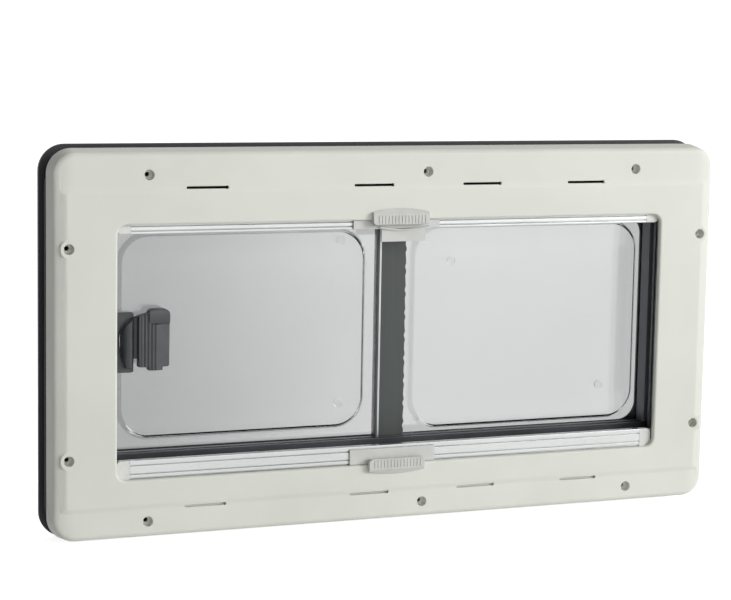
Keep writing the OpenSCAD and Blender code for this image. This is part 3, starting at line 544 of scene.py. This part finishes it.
def makeOuterFrame(v=outerFrame):
    shell = startShell()
    corners = [("leg", v["legFront"], 1.0), ("leg", v["seatDeep"], 0.4), ("seat", v["seatDeep"], 0.2),
               ("seat", 0.0, 0.4), ("flange", 0.0, 0.8), ("flange", v["flangeBack"], 0.9),
               ("leg", v["flangeBack"], 1.6), ("leg", v["out"], 2.6), ("aperture", v["out"], 1.6),
               ("aperture", v["channelOut"], 0.5), ("channel", v["channelOut"], 0.4),
               ("channel", v["channelIn"], 0.6), ("inside", v["channelIn"], 0.6),
               ("inside", v["legFront"], 1.0)]
    rings = softRings(shell, [(*v[name], y, far) for name, y, far in corners])
    bridgeRings(shell, rings)
    holes = [rings[-1]]
    for px, pz in innerFrame["rowScrews"] + innerFrame["sideScrews"]:
        tube = [flatRing(shell, circleLoop(px, pz, v["pilot"] + grow, 20), v["legFront"] + deep)
                for grow, deep in ((0.3, 0), (0, 0.3), (0, v["pilotDeep"]))]
        bridgeRings(shell, tube)
        shell["faces"].append(tuple(tube[-1]))
        holes.append(tube[0])
    fillFace(shell, rings[0], holes, [], lambda x, z: v["legFront"])
    finishShell("outer_frame_moulding", shell, "black_foam", ["outer_frame"])


wallSeal = {
    "section": [(698.2, 348.2, 17.1, 0, -2.0, 1.3), (698.2, 348.2, 17.1, 0, 1.0, 0.2),
                (709.8, 359.8, 22.9, 0, 1.0, 0.2), (709.8, 359.8, 22.9, 0, -1.4, 1.2),
                (704.0, 354.0, 20.0, 0, -2.0, 1.5)],
}


def makeWallSeal(v=wallSeal):
    shell = startShell()
    rings = softRings(shell, v["section"])
    bridgeRings(shell, rings + rings[:1])
    finishShell("wall_seal_strip", shell, "seal_rubber", ["wall_seal"])


makeOuterFrame()
makeWallSeal()
print("outer frame and seal made")


def makeExtrusion(name, section, axis, low, high, slot, replaced, soften=0.4, lift=0.0, steps=1, wander=None):
    # section is (y, z) for a run along X, or (x, y) for one along Z; the ends are closed and slightly rounded
    soft = softCorners(section, [soften] * len(section), math.dist, 3)
    my, mz = sum(p[0] for p in soft) / len(soft), sum(p[1] for p in soft) / len(soft)
    shell = startShell()
    rings = []
    stations = [low, low + 0.15] + [low + (high - low) * k / steps for k in range(1, steps)]
    stations += [high - 0.15, high]
    for k, at in enumerate(stations):
        tight = 0.995 if k in (0, len(stations) - 1) else 1.0
        ring = []
        for a, b in soft:
            a, b = my + (a - my) * tight, mz + (b - mz) * tight
            if wander:
                a, b = wander(a, b, at)
            ring.append((at, a, b + lift) if axis == "X" else (a, b, at + lift))
        rings.append(addRing(shell, ring))
    bridgeRings(shell, rings, capped=True)
    return finishShell(name, shell, slot, replaced)


tracks = {"y0": -14.3, "y1": 7.3, "glass": 111.25, "side": 300.0, "deep": 17.7, "bite": 9.0,
          "slide": (-10.3, -4.5), "fixed": (1.9, 7.3), "long": 317.7, "tall": 110.95}


def makeTracks(v=tracks):
    y0, y1, g, s, d, b = v["y0"], v["y1"], v["glass"], v["side"], v["deep"], v["bite"]
    (s0, s1), f0 = v["slide"], v["fixed"][0]
    for up, node in ((1, "top_track"), (-1, "bottom_track")):
        section = [(y0, g), (s0, g), (s0, g + b), (s1, g + b), (s1, g), (f0, g), (f0, g + b), (y1, g + b),
                   (y1, g + d), (y0, g + d)]
        makeExtrusion(node + "_extrusion", [(y, up * z) for y, z in section], "X", -v["long"], v["long"],
                      "track_plastic", [node], 0.5, glassUp)
    left = [(s, y0), (s, s0), (s + b, s0), (s + b, s1), (s, s1), (s, y1), (s + d, y1), (s + d, y0)]
    right = [(s, y0), (s, f0), (s + b, f0), (s + b, y1), (s + d, y1), (s + d, y0)]
    for node, section in (("left_jamb", [(-x, y) for x, y in left]), ("right_jamb", right)):
        jamb = makeExtrusion(node + "_extrusion", section, "Z", -v["tall"], v["tall"], "track_plastic",
                             [node], 0.5, glassUp)
        # the jambs take the lighter PVC, whose tone is a painted reflection
        jamb.data.materials[0] = finishes["jamb_painted_reflection"]


guides = {"inner": 293.8, "outer": 303.8, "y0": -42.2, "y1": -33.2, "tongue": (-40.0, -37.0),
          "tongueDeep": 8.0, "low": -130.5, "high": 134.0}


def makeGuides(v=guides):
    (t0, t1), deep = v["tongue"], v["inner"] + v["tongueDeep"]
    section = [(v["inner"], v["y0"]), (v["outer"], v["y0"]), (v["outer"], v["y1"]), (v["inner"], v["y1"]),
               (v["inner"], t1), (deep, t1), (deep, t0), (v["inner"], t0)]
    for hand, name, node in ((-1, "left_guide_channel", "left_blind_guide"),
                             (1, "right_guide_channel", "right_blind_guide")):
        makeExtrusion(name, [(hand * x, y) for x, y in section], "Z", v["low"], v["high"], "track_plastic",
                      [node], 0.4)


bars = {"half": 279.5, "y0": -42.0, "y1": -35.0, "height": 21.0, "grooves": (5.5, 14.0, 18.5),
        "grooveDeep": 1.6, "grooveWide": 0.9, "bottom": -119.0, "top": 122.5}


def makeBars(v=bars):
    y0, floor, wide = v["y0"], v["y0"] + v["grooveDeep"], v["grooveWide"]
    for side in ("top", "bottom"):
        high, low = v[side] + v["height"] / 2, v[side] - v["height"] / 2
        section = [(v["y1"], low), (v["y1"], high), (y0 + 0.5, high), (y0, high - 0.5)]
        for g in v["grooves"]:
            section += [(y0, high - g + wide), (floor, high - g + wide), (floor, high - g), (y0, high - g)]
        section += [(y0, low + 0.6), (y0 + 0.6, low)]
        makeExtrusion(side + "_bar_extrusion", section, "X", -v["half"], v["half"], "bar_aluminium",
                      [side + "_blind_bar"], 0.45)


post = {"left": -9.4, "wave": 0.75, "waveLong": (1.9, 1.25), "waveFrom": 20, "steps": 180,
        "stileSplit": -10.2, "stileDeep": 0.25}


def boxMm(node):
    # a node's box in mm about the window's middle
    return [(x / mm, y / mm, z / mm - windowUp) for x, y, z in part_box(node)]


def makePost(v=post):
    # the soft skin of the post runs in small waves down its right side
    def waved(x, y, z):
        if x < v["waveFrom"]:
            return x, y
        first, second = v["waveLong"]
        return x + v["wave"] * (math.sin(z / first) * 0.6 + math.sin(z / second + 1.1) * 0.4 - 1.0), y

    low, high = boxMm("meeting_post")
    section = [(v["left"], low[1]), (high[0], low[1]), (high[0], high[1]), (v["left"], high[1])]
    makeExtrusion("meeting_post_extrusion", section, "Z", low[2], high[2], "post_plastic", ["meeting_post"],
                  0.6, steps=v["steps"], wander=waved)
    # a dark gasket and a satin strip close the sliding pane's free edge
    low, high = boxMm("sliding_pane_stile")
    split, deep = v["stileSplit"], v["stileDeep"]
    for name, slot, x0, x1, y0 in (
            ("sliding_edge_gasket", "track_plastic", low[0], split - 0.05, low[1] + deep),
            ("sliding_edge_strip", "stile_aluminium", split + 0.05, high[0], low[1])):
        makeExtrusion(name, [(x0, y0), (x1, y0), (x1, high[1]), (x0, high[1])], "Z", low[2], high[2], slot,
                      ["sliding_pane_stile"], 0.35)


slotRib = {"x": 226.0, "y": (-42.4, -41.0), "z": (-159.0, -153.6)}


def makeSlotRib(v=slotRib):
    # the lower vent slots end on a pale rib close behind the face
    (y0, y1), (z0, z1) = v["y"], v["z"]
    makeExtrusion("lower_slot_rib", [(y0, z0), (y0, z1), (y1, z1), (y1, z0)], "X", -v["x"], v["x"],
                  "cream_moulding", ["inner_frame"], 0.4)


makeTracks()
makeGuides()
makeBars()
makePost()
makeSlotRib()
print("tracks, jambs, guides and bars made")


panes = {
    "skin": 2.4, "low": -120.25, "high": 120.25, "film": 0.05, "corner": 30.0, "rimCorner": 1.5, "round": 0.4,
    "sliding": {"x": (-309.0, -8.0), "y": -9.8, "field": (-283.5, -27.0, -96.5, 105.4)},
    "fixed": {"x": (9.0, 309.0), "y": 2.2, "field": (31.5, 291.0, -105.75, 105.75)},
    # the field stands out by its rise and crowns slightly, as shares of the crown at insets from its edge
    "rise": 5, "crown": 0.25, "domes": [(92, 1.0), (70, 0.94), (45, 0.75), (22, 0.4), (12, 0.15)],
    "edgeWide": 6.0, "edgeOut": 3.0, "edgeSteps": 18, "edgeThin": 0.9,
}


def makePane(which, v=panes):
    pane, rise = v[which], v["rise"]
    x0, x1 = pane["x"]
    fx0, fx1, fz0, fz1 = pane["field"]
    fw, fh, fx, fz = fx1 - fx0, fz1 - fz0, (fx0 + fx1) / 2, (fz0 + fz1) / 2 + glassUp

    def fieldRing(shell, inset, y):
        loop = roundedLoop(fw - 2 * inset, fh - 2 * inset, max(v["corner"] - inset, 1.5), fz, fx, corner=14,
                           side=(10, 8))
        return flatRing(shell, loop, y)

    def rimEdge(shell, y, thick):
        # the four rings of the sheet's outer edge
        rings = []
        for inset, at in ((v["round"], y), (0, y + v["round"]), (0, y + thick - v["round"]),
                          (v["round"], y + thick)):
            loop = roundedLoop(x1 - x0 - 2 * inset, v["high"] - v["low"] - 2 * inset, v["rimCorner"], glassUp,
                               (x0 + x1) / 2, corner=14, side=(10, 8))
            rings.append(flatRing(shell, loop, at))
        return rings

    shell = startShell()
    y0, t = pane["y"], v["skin"]
    room, cavity = [], []
    for k in range(v["edgeSteps"] + 1):  # an S from rim to field; blowing thins the skin towards the field
        u = k / v["edgeSteps"]
        far, up = v["edgeWide"] * u - v["edgeOut"], rise * u ** 3 * (10 - 15 * u + 6 * u * u)
        room.append((far, up))
        lean = math.atan(rise * 30 * (u * (1 - u)) ** 2 / v["edgeWide"])
        thick = t - v["edgeThin"] * eased(2 * u)
        cavity.append((far + thick * math.sin(lean), up - thick * math.cos(lean)))
    chain = [fieldRing(shell, far, y0 - rise - v["crown"] * share) for far, share in v["domes"]]
    chain += [fieldRing(shell, far, y0 - up) for far, up in room[::-1]]
    chain += rimEdge(shell, y0, t)
    chain += [fieldRing(shell, far, y0 - up) for far, up in cavity]
    chain += [fieldRing(shell, far, y0 - rise + t - v["crown"] * share) for far, share in v["domes"][::-1]]
    bridgeRings(shell, chain, capped=True)
    finishShell(which + "_pane_blown_skin", shell, "acrylic", [which + "_pane_inner"])

    shell = startShell()
    bridgeRings(shell, rimEdge(shell, y0 + t + v["film"], t - v["film"]), capped=True)
    finishShell(which + "_pane_flat_skin", shell, "acrylic", [which + "_pane_outer"])


makePane("sliding")
makePane("fixed")
print("panes made")


def makeSoftened(node, slot, width, angle=32, segments=3):
    # a small part keeps its solid's shape and gets rounded edges
    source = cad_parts[node].data
    name = node + "_moulding"
    data = bpy.data.meshes.new(name)
    data.from_pydata([v.co[:] for v in source.vertices], [], [p.vertices[:] for p in source.polygons])
    work = bmesh.new()
    work.from_mesh(data)
    bmesh.ops.remove_doubles(work, verts=work.verts, dist=2e-6)
    bmesh.ops.dissolve_limit(work, angle_limit=math.radians(0.8), verts=work.verts, edges=work.edges)
    work.to_mesh(data)
    work.free()
    piece = finishPiece(name, data, slot, [node])
    bevel = piece.modifiers.new("rounded edges", "BEVEL")
    bevel.width = width * mm
    bevel.segments = segments
    bevel.limit_method = "ANGLE"
    bevel.angle_limit = math.radians(angle)
    piece.modifiers.move(1, 0)


softened = [
    ("latch_plastic", 0.4, ["latch_keeper"]),
    ("cream_plain", 0.4, ["top_roll_brackets", "bottom_roll_brackets"]),
    ("cap_plastic", 0.6, ["top_bar_caps", "bottom_bar_caps"]),
    ("grip_plastic", 0.25, ["top_grip", "bottom_grip"]),
    ("grip_plastic", 0.35, ["top_grip_clip", "bottom_grip_clip"]),
    ("plug_plastic", 0.5, ["sliding_pane_plugs", "fixed_pane_plugs"]),
    ("screen_cloth", 0.3, ["top_blind_roll"]), ("blackout_cloth", 0.3, ["bottom_blind_roll"]),
]
for slot, width, nodes in softened:
    for node in nodes:
        makeSoftened(node, slot, width)
print("small parts made")


latch = {
    # outline of the lever seen from the room: hub at the left, curl at the upper right, toe below
    "outline": [(-280, -20.5), (-283.2, -9), (-285.0, 1), (-285.4, 9), (-284.2, 15), (-280.5, 21),
                (-274.2, 26), (-270, 29.2), (-265.9, 31.1), (-261, 32.2), (-257.6, 33), (-257.3, 35.2),
                (-254, 36.9), (-247, 37.3), (-240, 36.6), (-237.2, 34.6), (-236.4, 31), (-236.5, 10),
                (-236.7, -18.4), (-237.7, -19.6), (-243.5, -19.7), (-243.6, -22.9), (-257.4, -23.1),
                (-257.5, -19.8), (-267.2, -19.6), (-267.2, -12.6), (-268.2, -11.8), (-270.9, -11.8),
                (-271.8, -12.6), (-271.9, -20.5)],
    "outlineStep": 1.6, "rear": -19.5, "edge": 0.45,
    "hubFrom": -286, "hubWide": 12, "hubBow": 1.8, "hubFront": -26.6, "hubSunk": 0.9,
    "dip": 3.4, "dipFrom": -274.5, "dipWide": 4,
    "bodyFrom": -267.6, "bodyFront": -28.4, "bodyRise": 2.2, "ribs": 5, "ribDeep": 0.45, "ribFade": 4,
    "panelFrom": -250.4, "panelFront": -31.0, "panelFall": 2.6, "panelWide": 14,
    "curlFrom": 22.3, "curlLeft": -257.4, "curlFront": -28.6, "curlDeep": 2.4, "curlMiddle": 30,
    "curlHalf": 8.2,
    # grid over the lever's face: close over the ribs and the curl
    "hubStep": 0.8, "bodyStep": 0.52, "panelStep": 1.6, "lowStep": 2.2,
    "curlZ": [22.1, 22.5, 23, 24, 26, 28, 30, 32, 34, 35.5, 36.3],
    "beadDeep": -21.2, "beadRadius": 0.42, "beadOut": 0.3, "beadPoints": 7,
    "base": (-294.3, -270.3, -25.9, 33.3), "baseCorner": 2.2, "baseRear": -15.1, "baseFront": -19.1,
    "border": 1.8, "borderSunk": 0.25,
    "pin": (-277.3, -24.3), "pinRadius": 1.2, "pinEnds": (-18.5, 21.5), "pinChamfer": 0.3,
}


def leverDepth(x, z, v=latch):
    if x < v["bodyFrom"]:  # hub: rises from the base, turned away from the light, and dips before the body
        rise = 1 - (1 - min(1, max(0, (x - v["hubFrom"]) / v["hubWide"]))) ** v["hubBow"]
        return (v["rear"] - v["hubSunk"] + (v["hubFront"] - v["rear"] + v["hubSunk"]) * rise
                + v["dip"] * eased((x - v["dipFrom"]) / v["dipWide"]))
    if z > v["curlFrom"] and x > v["curlLeft"]:  # rolled grip at the top
        across = (z - v["curlMiddle"]) / v["curlHalf"]
        return v["curlFront"] - v["curlDeep"] * math.sqrt(max(0.0, 1 - across ** 2))
    if x < v["panelFrom"]:
        across = (x - v["bodyFrom"]) / (v["panelFrom"] - v["bodyFrom"])
        wave = math.cos(2 * math.pi * v["ribs"] * across) * min(1, v["ribFade"] * across)
        return v["bodyFront"] - v["bodyRise"] * across - v["ribDeep"] * wave
    return v["panelFront"] + v["panelFall"] * (x - v["panelFrom"]) / v["panelWide"]


def insetLoop(points, far):
    # moves each side of a loop inwards by far, for loops that run clockwise seen from the room
    moved, n = [], len(points)
    for k in range(n):
        (ax, az), (bx, bz), (cx, cz) = points[k - 1], points[k], points[(k + 1) % n]
        d1, d2 = math.hypot(bx - ax, bz - az), math.hypot(cx - bx, cz - bz)
        nx, nz = (bz - az) / d1 + (cz - bz) / d2, -(bx - ax) / d1 - (cx - bx) / d2
        scale = far * 2 / max(nx * nx + nz * nz, 0.8)
        moved.append((bx + nx * scale, bz + nz * scale))
    return moved


def makeLever(v=latch):
    shell = startShell()
    loop = []
    for (ax, az), (bx, bz) in zip(v["outline"], v["outline"][1:] + v["outline"][:1]):
        count = max(1, round(math.hypot(bx - ax, bz - az) / v["outlineStep"]))
        loop += [(ax + (bx - ax) * k / count, az + (bz - az) * k / count) for k in range(count)]
    inner = insetLoop(loop, v["edge"])
    rear = flatRing(shell, loop, v["rear"])
    side = addRing(shell, [(x, min(leverDepth(*q) + v["edge"], v["rear"] - 0.1), z)
                           for (x, z), q in zip(loop, inner)])
    front = addRing(shell, [(x, leverDepth(x, z), z) for x, z in inner])
    bridgeRings(shell, [rear, side, front])
    shell["faces"].append(tuple(rear))
    body = v["bodyFrom"] + 0.5
    xs = [v["hubFrom"] + v["hubStep"] * k for k in range(23)] + [v["bodyFrom"] - 0.08, body]
    xs += [body + v["bodyStep"] * k for k in range(1, 33)]
    xs += [v["panelFrom"] + v["panelStep"] * k for k in range(9)]
    zs = [-22 + v["lowStep"] * k for k in range(20)] + v["curlZ"]
    fillFace(shell, front, [], [(x, z) for x in xs for z in zs], leverDepth)
    finishShell("latch_lever_moulding", shell, "latch_plastic", ["latch_lever"], 30)


def makeHubHighlight(v=latch):
    # a bead in light grey plastic along the hub's round edge: a painted highlight where the edge catches the
    # light
    shell = startShell()
    path = v["outline"][:v["beadPoints"]]
    rings = []
    for k, (x, z) in enumerate(path):
        (ax, az), (bx, bz) = path[max(k - 1, 0)], path[min(k + 1, len(path) - 1)]
        long = math.hypot(bx - ax, bz - az)
        nx, nz = (bz - az) / long, -(bx - ax) / long
        rings.append(addRing(shell, [(x + nx * a, v["beadDeep"] + b, z + nz * a)
                                     for a, b in circleLoop(v["beadOut"], 0, v["beadRadius"], 10)]))
    bridgeRings(shell, rings, capped=True)
    # the light grey plastic on the dark lever is a painted highlight
    finishShell("latch_hub_painted_highlight", shell, "grip_plastic", ["latch_lever"])


def makeLatchBase(v=latch):
    # a plate with a border that stands back from its middle
    shell = startShell()
    x0, x1, z0, z1 = v["base"]
    front, back = v["baseFront"], v["baseFront"] - v["borderSunk"]
    rings = []
    for inset, y in ((0, v["baseRear"]), (0, front + 0.1), (0.3, back), (v["border"], back),
                     (v["border"] + 0.3, front)):
        loop = roundedLoop(x1 - x0 - 2 * inset, z1 - z0 - 2 * inset, max(v["baseCorner"] - inset, 0.4),
                           (z0 + z1) / 2, (x0 + x1) / 2, corner=5)
        rings.append(flatRing(shell, loop, y))
    bridgeRings(shell, rings, capped=True)
    finishShell("latch_base_plate", shell, "latch_plastic", ["latch_base"])


def makePin(v=latch):
    shell = startShell()
    (px, py), (low, high), chamfer = v["pin"], v["pinEnds"], v["pinChamfer"]
    rings = [addRing(shell, [(x, y, z) for x, y in circleLoop(px, py, v["pinRadius"] - cut, 24)])
             for cut, z in ((chamfer, low), (0, low + chamfer), (0, high - chamfer), (chamfer, high))]
    bridgeRings(shell, rings, capped=True)
    finishShell("latch_pin_turned", shell, "pin_steel", ["latch_pin"])


makeLever()
makeHubHighlight()
makeLatchBase()
makePin()
print("latch made")


pile = {"rows": 5, "pitch": 0.8, "sides": 5, "root": 0.11, "tip": 0.05, "lean": 0.22, "seed": 4,
        "fillWide": 0.9, "fillTall": 0.995, "fillDeep": 0.96, "sunk": 0.02, "backing": 0.3, "backingIn": 0.05}


def makePile(v=pile):
    # bristles of the meeting brush: one tapered fibre set out in rows by Geometry Nodes, over a woven backing
    low, high = [list(corner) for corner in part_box("meeting_brush")]
    low[0] = post["left"] * mm
    tall, wide, deep = high[2] - low[2], high[0] - low[0], high[1] - low[1]
    tree = bpy.data.node_groups.new("bristle rows", "GeometryNodeTree")
    tree.interface.new_socket("Geometry", in_out="OUTPUT", socket_type="NodeSocketGeometry")
    amounts = {"Width": wide * v["fillWide"], "Height": tall * v["fillTall"], "Rows": v["rows"],
               "Count": round(tall / (v["pitch"] * mm)), "Root Radius": v["root"] * mm,
               "Tip Radius": v["tip"] * mm, "Length": deep * v["fillDeep"], "Lean": v["lean"],
               "Seed": v["seed"]}
    names = {}
    for name, value in amounts.items():
        kind = "NodeSocketInt" if isinstance(value, int) else "NodeSocketFloat"
        names[name] = tree.interface.new_socket(name, in_out="INPUT", socket_type=kind).identifier
    given = addNode(tree, "NodeGroupInput").outputs
    grid = addNode(tree, "GeometryNodeMeshGrid", {"Size X": given["Width"], "Size Y": given["Height"],
                                                  "Vertices X": given["Rows"], "Vertices Y": given["Count"]})
    upright = (math.pi / 2, 0, 0)
    stood = addNode(tree, "GeometryNodeTransform", {"Geometry": grid.outputs["Mesh"], "Rotation": upright})
    fibre = addNode(tree, "GeometryNodeMeshCone",
                    {"Vertices": v["sides"], "Radius Top": given["Tip Radius"],
                     "Radius Bottom": given["Root Radius"], "Depth": given["Length"]})
    back = addNode(tree, "ShaderNodeMath", {0: given["Lean"], 1: -1.0}, operation="MULTIPLY")
    lean = addNode(tree, "FunctionNodeRandomValue",
                   {"Min": back.outputs[0], "Max": given["Lean"], "Seed": given["Seed"]},
                   data_type="FLOAT_VECTOR")
    turn = addNode(tree, "ShaderNodeVectorMath", {0: lean.outputs[0], 1: upright}, operation="ADD")
    sown = addNode(tree, "GeometryNodeInstanceOnPoints",
                   {"Points": stood.outputs[0], "Instance": fibre.outputs["Mesh"],
                    "Rotation": turn.outputs[0]})
    real = addNode(tree, "GeometryNodeRealizeInstances", {"Geometry": sown.outputs[0]})
    dressed = addNode(tree, "GeometryNodeSetMaterial",
                      {"Geometry": real.outputs[0], "Material": finishes["pile"]})
    addNode(tree, "NodeGroupOutput", {"Geometry": dressed.outputs[0]})
    holder = bpy.data.objects.new("bristle rows", bpy.data.meshes.new("bristle rows"))
    bpy.context.scene.collection.objects.link(holder)
    modifier = holder.modifiers.new("bristle rows", "NODES")
    modifier.node_group = tree
    for name, value in amounts.items():
        modifier[names[name]] = value
    made = bpy.data.meshes.new_from_object(holder.evaluated_get(bpy.context.evaluated_depsgraph_get()))
    bpy.data.objects.remove(holder)
    middle = ((low[0] + high[0]) / 2, high[1] - v["sunk"] * mm, (low[2] + high[2]) / 2)
    made.transform(Matrix.Translation(middle))
    (_, _, z0), (x1, rear, z1) = boxMm("meeting_brush")
    x0, x1, front = post["left"] + v["backingIn"], x1 - v["backingIn"], rear - v["backing"]
    makeExtrusion("meeting_brush_backing", [(x0, rear), (x1, rear), (x1, front), (x0, front)], "Z", z0, z1,
                  "pile", ["meeting_brush"], 0.1)
    finishPiece("meeting_brush_bristles", made, "pile", ["meeting_brush"])


makePile()
print("brush made")


# The view found by fitting the screw pockets and outlines in the photograph: focal length and principal
# point in pixels of its 731 by 600, turns in degrees
photoView = {"focal": 1972.0, "cx": 313.2, "cy": 262.5, "yaw": 20.18, "pitch": 6.74, "roll": 0.83,
             "place": (-0.762, -1.861, 0.309 + windowUp * mm), "wide": 731, "high": 600, "sensor": 36}


def makeCamera(v=photoView):
    data = bpy.data.cameras.new("photo camera")
    camera = bpy.data.objects.new("photo camera", data)
    bpy.context.scene.collection.objects.link(camera)
    bpy.context.scene.camera = camera
    data.sensor_width = v["sensor"]
    data.lens = v["focal"] * v["sensor"] / v["wide"]
    data.shift_x = (v["wide"] / 2 - v["cx"]) / v["wide"]
    data.shift_y = (v["cy"] - v["high"] / 2) / v["wide"]
    data.clip_start = 0.01
    turn = (Matrix.Rotation(-math.radians(v["yaw"]), 4, "Z")
            @ Matrix.Rotation(math.pi / 2 - math.radians(v["pitch"]), 4, "X")
            @ Matrix.Rotation(math.radians(v["roll"]), 4, "Z"))
    camera.matrix_world = Matrix.Translation(v["place"]) @ turn


stage = {
    "white": (1, 1, 1, 1),
    # the room is darker to the left of the window, so that faces turned that way fall into shade
    "roomFrom": -0.7, "roomTo": 0.7, "roomLeft": 0.07, "roomRight": 0.55, "roomSeen": 1.0,
    "floorHalf": 40.0, "floorDrop": 0.0002, "floorTone": (0.84, 0.84, 0.84, 1), "floorGlow": 0.88,
    "lamps": {"key softbox": {"place": (3.9, -3.6, 1.6), "size": (2.4, 2.0), "watts": 176},
              "front fill": {"place": (0.1, -3.2, 1.2), "size": (2.0, 1.2), "watts": 15}},
    # glowing card seen through the panes; its fall from right to left is painted shade
    "cardX": (-0.75, 1.3), "cardZ": (0.0, 0.75), "cardY": 0.26,
    "cardFrom": -0.28, "cardTo": 0.2, "cardLeft": 0.37, "cardRight": 0.755,
}


def seenRay(tree):
    # 1 where the camera sees a surface, also through glass or mirrored, and 0 where it only gives light
    path = addNode(tree, "ShaderNodeLightPath").outputs
    first = addNode(tree, "ShaderNodeMath", {0: path["Is Camera Ray"], 1: path["Is Transmission Ray"]},
                    operation="MAXIMUM")
    return addNode(tree, "ShaderNodeMath", {0: first.outputs[0], 1: path["Is Glossy Ray"]},
                   operation="MAXIMUM").outputs[0]


def makeSheet(name, corners, material):
    # a flat sheet of the stage
    data = bpy.data.meshes.new(name)
    data.from_pydata(corners, [], [(0, 1, 2, 3)])
    data.materials.append(material)
    sheet = bpy.data.objects.new(name, data)
    bpy.context.scene.collection.objects.link(sheet)
    return sheet


def makeWorld(v=stage):
    world = bpy.data.worlds.new("studio")
    bpy.context.scene.world = world
    world.use_nodes = True
    tree = world.node_tree
    tree.nodes.clear()
    turned = addNode(tree, "ShaderNodeTexCoord").outputs["Generated"]
    facing = addNode(tree, "ShaderNodeSeparateXYZ", {"Vector": turned})
    side = addNode(tree, "ShaderNodeMapRange",
                   {"Value": facing.outputs["X"], "From Min": v["roomFrom"], "From Max": v["roomTo"],
                    "To Min": v["roomLeft"], "To Max": v["roomRight"]})
    level = addNode(tree, "ShaderNodeMix", {0: seenRay(tree), 2: side.outputs[0], 3: v["roomSeen"]},
                    data_type="FLOAT")
    background = addNode(tree, "ShaderNodeBackground", {"Color": v["white"], "Strength": level.outputs[0]})
    addNode(tree, "ShaderNodeOutputWorld", {"Surface": background.outputs[0]})


def makeFloor(v=stage):
    # matt paper that glows to white where it is seen, and gives only its own reflected light to the window
    material, tree = startMaterial("matt white studio paper")
    paper = addNode(tree, "ShaderNodeBsdfDiffuse", {"Color": v["floorTone"]})
    glow = addNode(tree, "ShaderNodeEmission", {"Color": v["white"], "Strength": v["floorGlow"]})
    both = addNode(tree, "ShaderNodeAddShader", {0: paper.outputs[0], 1: glow.outputs[0]})
    pick = addNode(tree, "ShaderNodeMixShader", {0: seenRay(tree), 1: paper.outputs[0], 2: both.outputs[0]})
    addNode(tree, "ShaderNodeOutputMaterial", {"Surface": pick.outputs[0]})
    low, half = cadBounds[0].z - v["floorDrop"], v["floorHalf"]
    makeSheet("studio_floor", [(x * half, y * half, low) for x, y in ((-1, -1), (1, -1), (1, 1), (-1, 1))],
              material)


def makeLamp(name, place, target, size, watts):
    data = bpy.data.lights.new(name, "AREA")
    data.shape = "RECTANGLE"
    (data.size, data.size_y), data.energy = size, watts
    lamp = bpy.data.objects.new(name, data)
    bpy.context.scene.collection.objects.link(lamp)
    lamp.location = place
    lamp.rotation_euler = (Vector(target) - Vector(place)).to_track_quat("-Z", "Y").to_euler()


def makeBackdrop(v=stage):
    # The photograph's surround is cut out to white, but the panes still show the studio's grey paper,
    # darker to the left; so this card is seen only through the glass
    material, tree = startMaterial("studio paper glowing with painted shade")
    place = addNode(tree, "ShaderNodeTexCoord").outputs["Object"]
    where = addNode(tree, "ShaderNodeSeparateXYZ", {"Vector": place})
    # the card glows; its brightness falls towards the left as painted shade on the paper
    shade = addNode(tree, "ShaderNodeMapRange",
                    {"Value": where.outputs["X"], "From Min": v["cardFrom"], "From Max": v["cardTo"],
                     "To Min": v["cardLeft"], "To Max": v["cardRight"]}, interpolation_type="SMOOTHSTEP")
    glow = addNode(tree, "ShaderNodeEmission", {"Color": v["white"], "Strength": shade.outputs[0]})
    addNode(tree, "ShaderNodeOutputMaterial", {"Surface": glow.outputs[0]})
    (x0, x1), (z0, z1), y = v["cardX"], v["cardZ"], v["cardY"]
    card = makeSheet("studio_backdrop", [(x0, y, z0), (x1, y, z0), (x1, y, z1), (x0, y, z1)], material)
    card.visible_camera = card.visible_diffuse = card.visible_glossy = card.visible_shadow = False


makeCamera()
bpy.context.scene.view_settings.view_transform = "Standard"
makeWorld()
makeFloor()
for name, lamp in stage["lamps"].items():
    makeLamp(name, lamp["place"], (0, 0, windowUp * mm), lamp["size"], lamp["watts"])
makeBackdrop()
print("camera, light and floor made")
